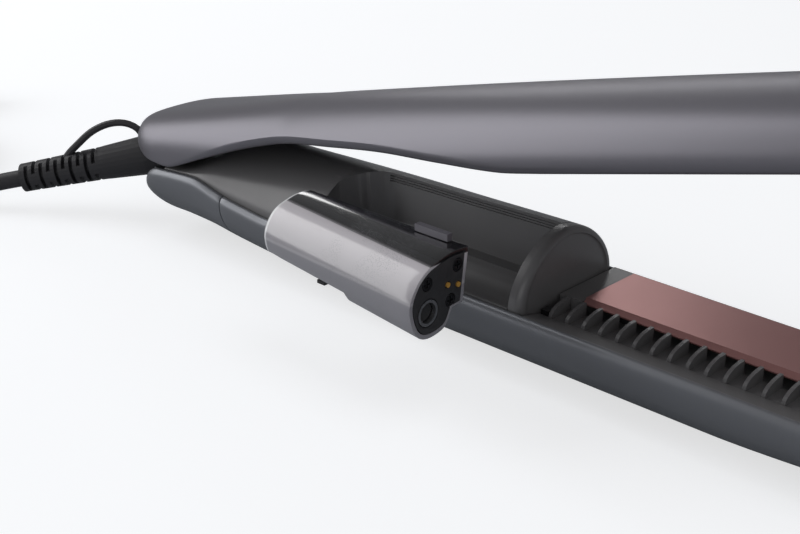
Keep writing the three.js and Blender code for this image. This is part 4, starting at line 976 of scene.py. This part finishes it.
hump_x = stations((HUMP_FROM, 51, 30), (51, BAY_TO, 24))
bay_outline = np.vstack([[BAY_WALL_Y, HIGH_UP], [BAY_WALL_Y, LEDGE_Z], [LEDGE_Y, LEDGE_Z], trough(),
                         [-ARM_HALF - 5, TROUGH_Z], [-ARM_HALF - 5, HIGH_UP]])
bay_back = BAY_WALL_Y + BAY_SKIN
skin_z = TROUGH_Z - TROUGH_SKIN
bay_skin = np.vstack([[bay_back, HIGH_UP], [bay_back, skin_z], [LEDGE_Y + BAY_SKIN, skin_z],
                      trough(TROUGH_SKIN)[1:], [-HUMP_HALF, HIGH_UP]])


def bay_row(x):
    """The room's section. Towards the hinge its wall comes forward in a sweep: the bay ends softly."""
    section = on_station(x, bay_outline)
    section[:2, 1] -= BAY_SWEEP * max(0.0, (BAY_FROM + BAY_SWEEP_OVER - x) / BAY_SWEEP_OVER) ** 2
    return section


sweep_x = np.linspace(BAY_FROM, BAY_FROM + BAY_SWEEP_OVER, 24)
bay_room = loft_solid([bay_row(x) for x in (*sweep_x, BAY_TO + 5)])
hump_below = loft_solid([hump_row(x, 0, skin_z - TROUGH_DEEP) for x in hump_x])
bay_body = combined(prism_solid(bay_skin, BAY_FROM - BAY_SKIN, BAY_TO), ("INTERSECT", hump_below))
hump_hollow = loft_solid([hump_row(x, HUMP_WALL, smooth(RIM_KNOTS, x) - 8)
                          for x in (HUMP_FROM + HUMP_WALL, *hump_x[1:-1], BAY_TO - HUMP_WALL)])
groove_x = np.linspace(BAY_FROM + 12, BAY_TO - HUMP_WALL, 30)
groove_outline = np.array([
    (-GROOVE_HALF, 0), (GROOVE_HALF, 0), (GROOVE_HALF, GROOVE_HIGH), (-GROOVE_HALF, GROOVE_HIGH)])


def guide_groove(number):
    """One groove along the bay's wall, which keeps its distance below the top of the hump."""
    rows = []
    for x in groove_x:
        groove_z = smooth(HUMP_KNOTS, x) - GROOVE_DOWN - number * GROOVE_PITCH
        rows.append(on_station(x, groove_outline + [BAY_WALL_Y, groove_z]))
    return loft_solid(rows)


def hinge_ear(side):
    """The two solids of the ear on one side: a round eye and the block that carries it."""
    eye = rod_solid((0, side * EAR_IN, HINGE_Z), (0, side * EAR_OUT, HINGE_Z), EAR_R)
    return [eye, box_solid((-EAR_R, EAR_R), sorted((side * EAR_IN, side * EAR_OUT)), (RIM_Z, HINGE_Z))]


holes = []
for share in BUTTON_SHARES:
    x = BAY_FROM + share * (BAY_TO - BAY_FROM)
    holes.append(rod_solid((x, HUMP_HALF - BUTTON_DEEP, BUTTON_Z), (x, ARM_HALF, BUTTON_Z), BUTTON_HOLE_R))
holes.append(rod_solid((0, -PIN_HALF, HINGE_Z), (0, PIN_HALF, HINGE_Z), PIN_HOLE_R))
housing = combined(
    loft_solid([hump_row(x) for x in hump_x]), ("DIFFERENCE", hump_hollow), ("UNION", bay_body),
    ("DIFFERENCE", bay_room), *[("DIFFERENCE", guide_groove(number)) for number in range(GROOVES)],
    *[("UNION", solid) for solid in hinge_ear(-1) + hinge_ear(1)], *[("DIFFERENCE", hole) for hole in holes])
moulded("handle_hump", housing, "black_plastic", "lower_arm", ["handle_housing"], 0.25)
print("housing", len(housing[0]), "points")

# %% [markdown]
# The bulkhead closes the bay with a thick rolled rim round a slightly domed face. It is a loft of rings, each
# with how far forward it is and its share of the outline: the side, the rim's roll, the lip and the face.
# %% Bulkhead
BULK_FROM = BAY_TO + CLEARANCE
BULK_THICK = 5.0
JAW_FLOOR = 15.0
DOME_MIDDLE = np.array([0.0, 29.0])
BULK_SIDE = BULK_THICK * 0.42
BULK_ROLL = BULK_THICK * 0.5
RIM_SHARE = 0.13
LIP_SHARE = 0.05
LIP_DEEP = 0.5
FACE_SHARE = 0.82
FACE_DOME = 0.7
rim_turn = np.linspace(0, math.pi / 2, 14)
dome_rows = [(0.0, 1.0), (BULK_SIDE, 1.0)]
for turn in rim_turn[1:]:
    dome_rows.append((BULK_SIDE + BULK_ROLL * math.sin(turn), 1 - RIM_SHARE * (1 - math.cos(turn))))
for turn in rim_turn[3::3]:
    back = BULK_SIDE + BULK_ROLL - LIP_DEEP * math.sin(turn)
    dome_rows.append((back, 1 - RIM_SHARE - LIP_SHARE * (1 - math.cos(turn))))
for share in np.linspace(0.97, 0.1, 16):
    domed = BULK_SIDE + BULK_ROLL - LIP_DEEP + FACE_DOME * (1 - share ** 2)
    dome_rows.append((domed, FACE_SHARE * share))
bulk_outline = hump_row(BAY_TO, 0, JAW_FLOOR, 72)[:, 1:]
bulk = loft_solid([on_station(BULK_FROM + forward, DOME_MIDDLE + (bulk_outline - DOME_MIDDLE) * size)
                   for forward, size in dome_rows])
moulded("bulkhead_dome", bulk, "black_plastic", "lower_arm", ["bulkhead"], 0)
print("bulkhead", len(bulk[0]), "points")

# %% [markdown]
# The water tank is a thin clear cup, open towards the bulkhead and closed by a black cap that sits in it.
# `TANK_SHARES` is its section's outline in shares of the width and the height, from its far top corner on.
# The tank is drawn where it sits in the bay, then shifted by `TANK_OUT` to where the photograph shows it.
# %% Water tank
TANK_FROM, TANK_LONG, TANK_WALL = 92.9, 68.0, 1.3
TANK_SIDE, TANK_TOP, TANK_WIDE, TANK_TALL = 2.0, 41.8, 24.8, 23.8
TANK_TO = TANK_FROM + TANK_LONG
TANK_OUT = (0, -43.5, 7.4)
REAR_WIDE = 0.78
REAR_TALL = 0.83
REAR_EDGE = 1.6
TANK_SHARES = np.array([
    (0, 0), (-0.08, -0.71), (-0.27, -0.725), (-0.37, -0.92), (-0.5, -0.985), (-0.69, -1), (-0.83, -0.95),
    (-0.915, -0.85), (-0.975, -0.7), (-1, -0.56), (-0.99, -0.45), (-0.95, -0.35), (-0.88, -0.24),
    (-0.78, -0.143), (-0.67, -0.08), (-0.56, -0.046), (-0.42, -0.01), (-0.27, 0.012), (-0.12, 0.012)])
STEP_KNOTS = [(TANK_FROM + 0.53 * TANK_LONG, 1.6), (TANK_FROM + 0.56 * TANK_LONG, 0)]


def rounded_through(points, fine=6):
    """An open smooth line through points: each span is a cubic that leaves along its neighbours' chord."""
    points = np.asarray(points, float)
    padded = np.vstack([2 * points[0] - points[1], points, 2 * points[-1] - points[-2]])
    t = np.linspace(0, 1, fine, endpoint=False)[:, None]
    spans = []
    for a, b, c, d in zip(padded, padded[1:], padded[2:], padded[3:]):
        spans.append(b + 0.5 * t * (c - a + t * (2 * a - 5 * b + 4 * c - d + t * (3 * b - a - 3 * c + d))))
    return np.vstack([*spans, points[-1:]])


tank_curve = rounded_through(np.vstack([TANK_SHARES[2:], TANK_SHARES[:1]]))
tank_line = np.vstack([TANK_SHARES[:2], tank_curve[:-1]])


def tank_row(x, inset=0.0, along=None):
    """The tank's section, which grows a little towards its face, drawn inward by the inset."""
    forward = (x - TANK_FROM) / TANK_LONG
    wide = TANK_WIDE * (REAR_WIDE + (1 - REAR_WIDE) * forward)
    tall = TANK_TALL * (REAR_TALL + (1 - REAR_TALL) * forward)
    lift = np.where(tank_line[:, 1] < -0.8, smooth(STEP_KNOTS, x), 0)
    section = np.column_stack([TANK_SIDE + tank_line[:, 0] * wide, TANK_TOP + tank_line[:, 1] * tall + lift])
    middle = np.array([TANK_SIDE - wide / 2, TANK_TOP - tall / 2])
    section = middle + (section - middle) * (1 - 2 * inset / TANK_WIDE)
    return on_station(x if along is None else along, section)


rear_turn = np.linspace(0, math.pi / 2, 8)
step_from, step_to = TANK_FROM + 0.5 * TANK_LONG, TANK_FROM + 0.6 * TANK_LONG
tank_x = stations((TANK_FROM + REAR_EDGE, step_from, 10), (step_from, step_to, 14), (step_to, TANK_TO, 8))
tank_outside = []
for turn in rear_turn:
    inset, forward = REAR_EDGE * (1 - math.sin(turn)), REAR_EDGE * (1 - math.cos(turn))
    tank_outside.append(tank_row(TANK_FROM, inset, TANK_FROM + forward))
tank_outside += [tank_row(x) for x in tank_x[1:]]
tank_inside = [tank_row(x, TANK_WALL) for x in (TANK_FROM + TANK_WALL, *tank_x[1:])]
tank_cup = loft_solid(tank_outside + tank_inside[::-1])
moulded("tank_wall", tank_cup, "smoke_tank", "tank_body", ["tank_shell"], 0.2, TANK_OUT)
print("tank", len(tank_cup[0]), "points")

# %% [markdown]
# The cap has a round port, two holes for the contacts and three sunk screws with crossed recesses.
# %% Tank cap


def on_face(across, down):
    """A place on the tank's face, given in shares of its width and height."""
    return TANK_SIDE + across * TANK_WIDE, TANK_TOP + down * TANK_TALL


PORT_AT = on_face(-0.685, -0.66)
CONTACTS_AT = [on_face(-0.35, -0.4), on_face(-0.17, -0.45)]
SCREWS_AT = [on_face(-0.18, -0.19), on_face(-0.7, -0.28), on_face(-0.3, -0.62)]
CAP_FROM = TANK_TO - 3.2
PORT_R = 4.4
CONTACT_HOLE_R = 1.1
POCKET_R, POCKET_DEEP = 2.2, 1.1
HEAD_R, HEAD_THICK = 1.9, 0.8
BORE_R, SHANK_R = 1.3, 1.0
CROSS_HALF, CROSS_THIN, CROSS_DEEP = 1.25, 0.3, 0.7


def across_bar(x_from, x_to, at, radius, sides=40):
    """A round bar along X at a (y, z) place."""
    return rod_solid((x_from, *at), (x_to, *at), radius, sides)


cap_cuts = [across_bar(CAP_FROM - 1, TANK_TO + 1, PORT_AT, PORT_R)]
cap_cuts += [across_bar(CAP_FROM - 1, TANK_TO + 1, at, CONTACT_HOLE_R, 24) for at in CONTACTS_AT]
for at in SCREWS_AT:
    cap_cuts.append(across_bar(TANK_TO - POCKET_DEEP, TANK_TO + 1, at, POCKET_R))
    cap_cuts.append(across_bar(CAP_FROM - 1, TANK_TO, at, BORE_R, 24))
cap_plug = loft_solid([tank_row(x, TANK_WALL + CLEARANCE) for x in (CAP_FROM, TANK_TO)])
cap = combined(cap_plug, *[("DIFFERENCE", solid) for solid in cap_cuts])
moulded("tank_face", cap, "cap_black", "tank_body", ["tank_cap"], 0.15, TANK_OUT)
for number, at in enumerate(SCREWS_AT, 1):
    head = across_bar(TANK_TO - HEAD_THICK, TANK_TO, at, HEAD_R)
    shank = across_bar(CAP_FROM, TANK_TO - 0.2, at, SHANK_R, 24)
    cross = [box_solid((TANK_TO - CROSS_DEEP, TANK_TO + 1), (at[0] - a, at[0] + a), (at[1] - b, at[1] + b))
             for a, b in ((CROSS_HALF, CROSS_THIN), (CROSS_THIN, CROSS_HALF))]
    screw = combined(head, ("UNION", shank), *[("DIFFERENCE", slot) for slot in cross])
    moulded(f"tank_fixing_{number}", screw, "black_screw", "tank_body", [f"tank_screw_{number}"], 0.12,
            TANK_OUT)
print("cap", len(cap[0]), "points,", len(SCREWS_AT), "screws")
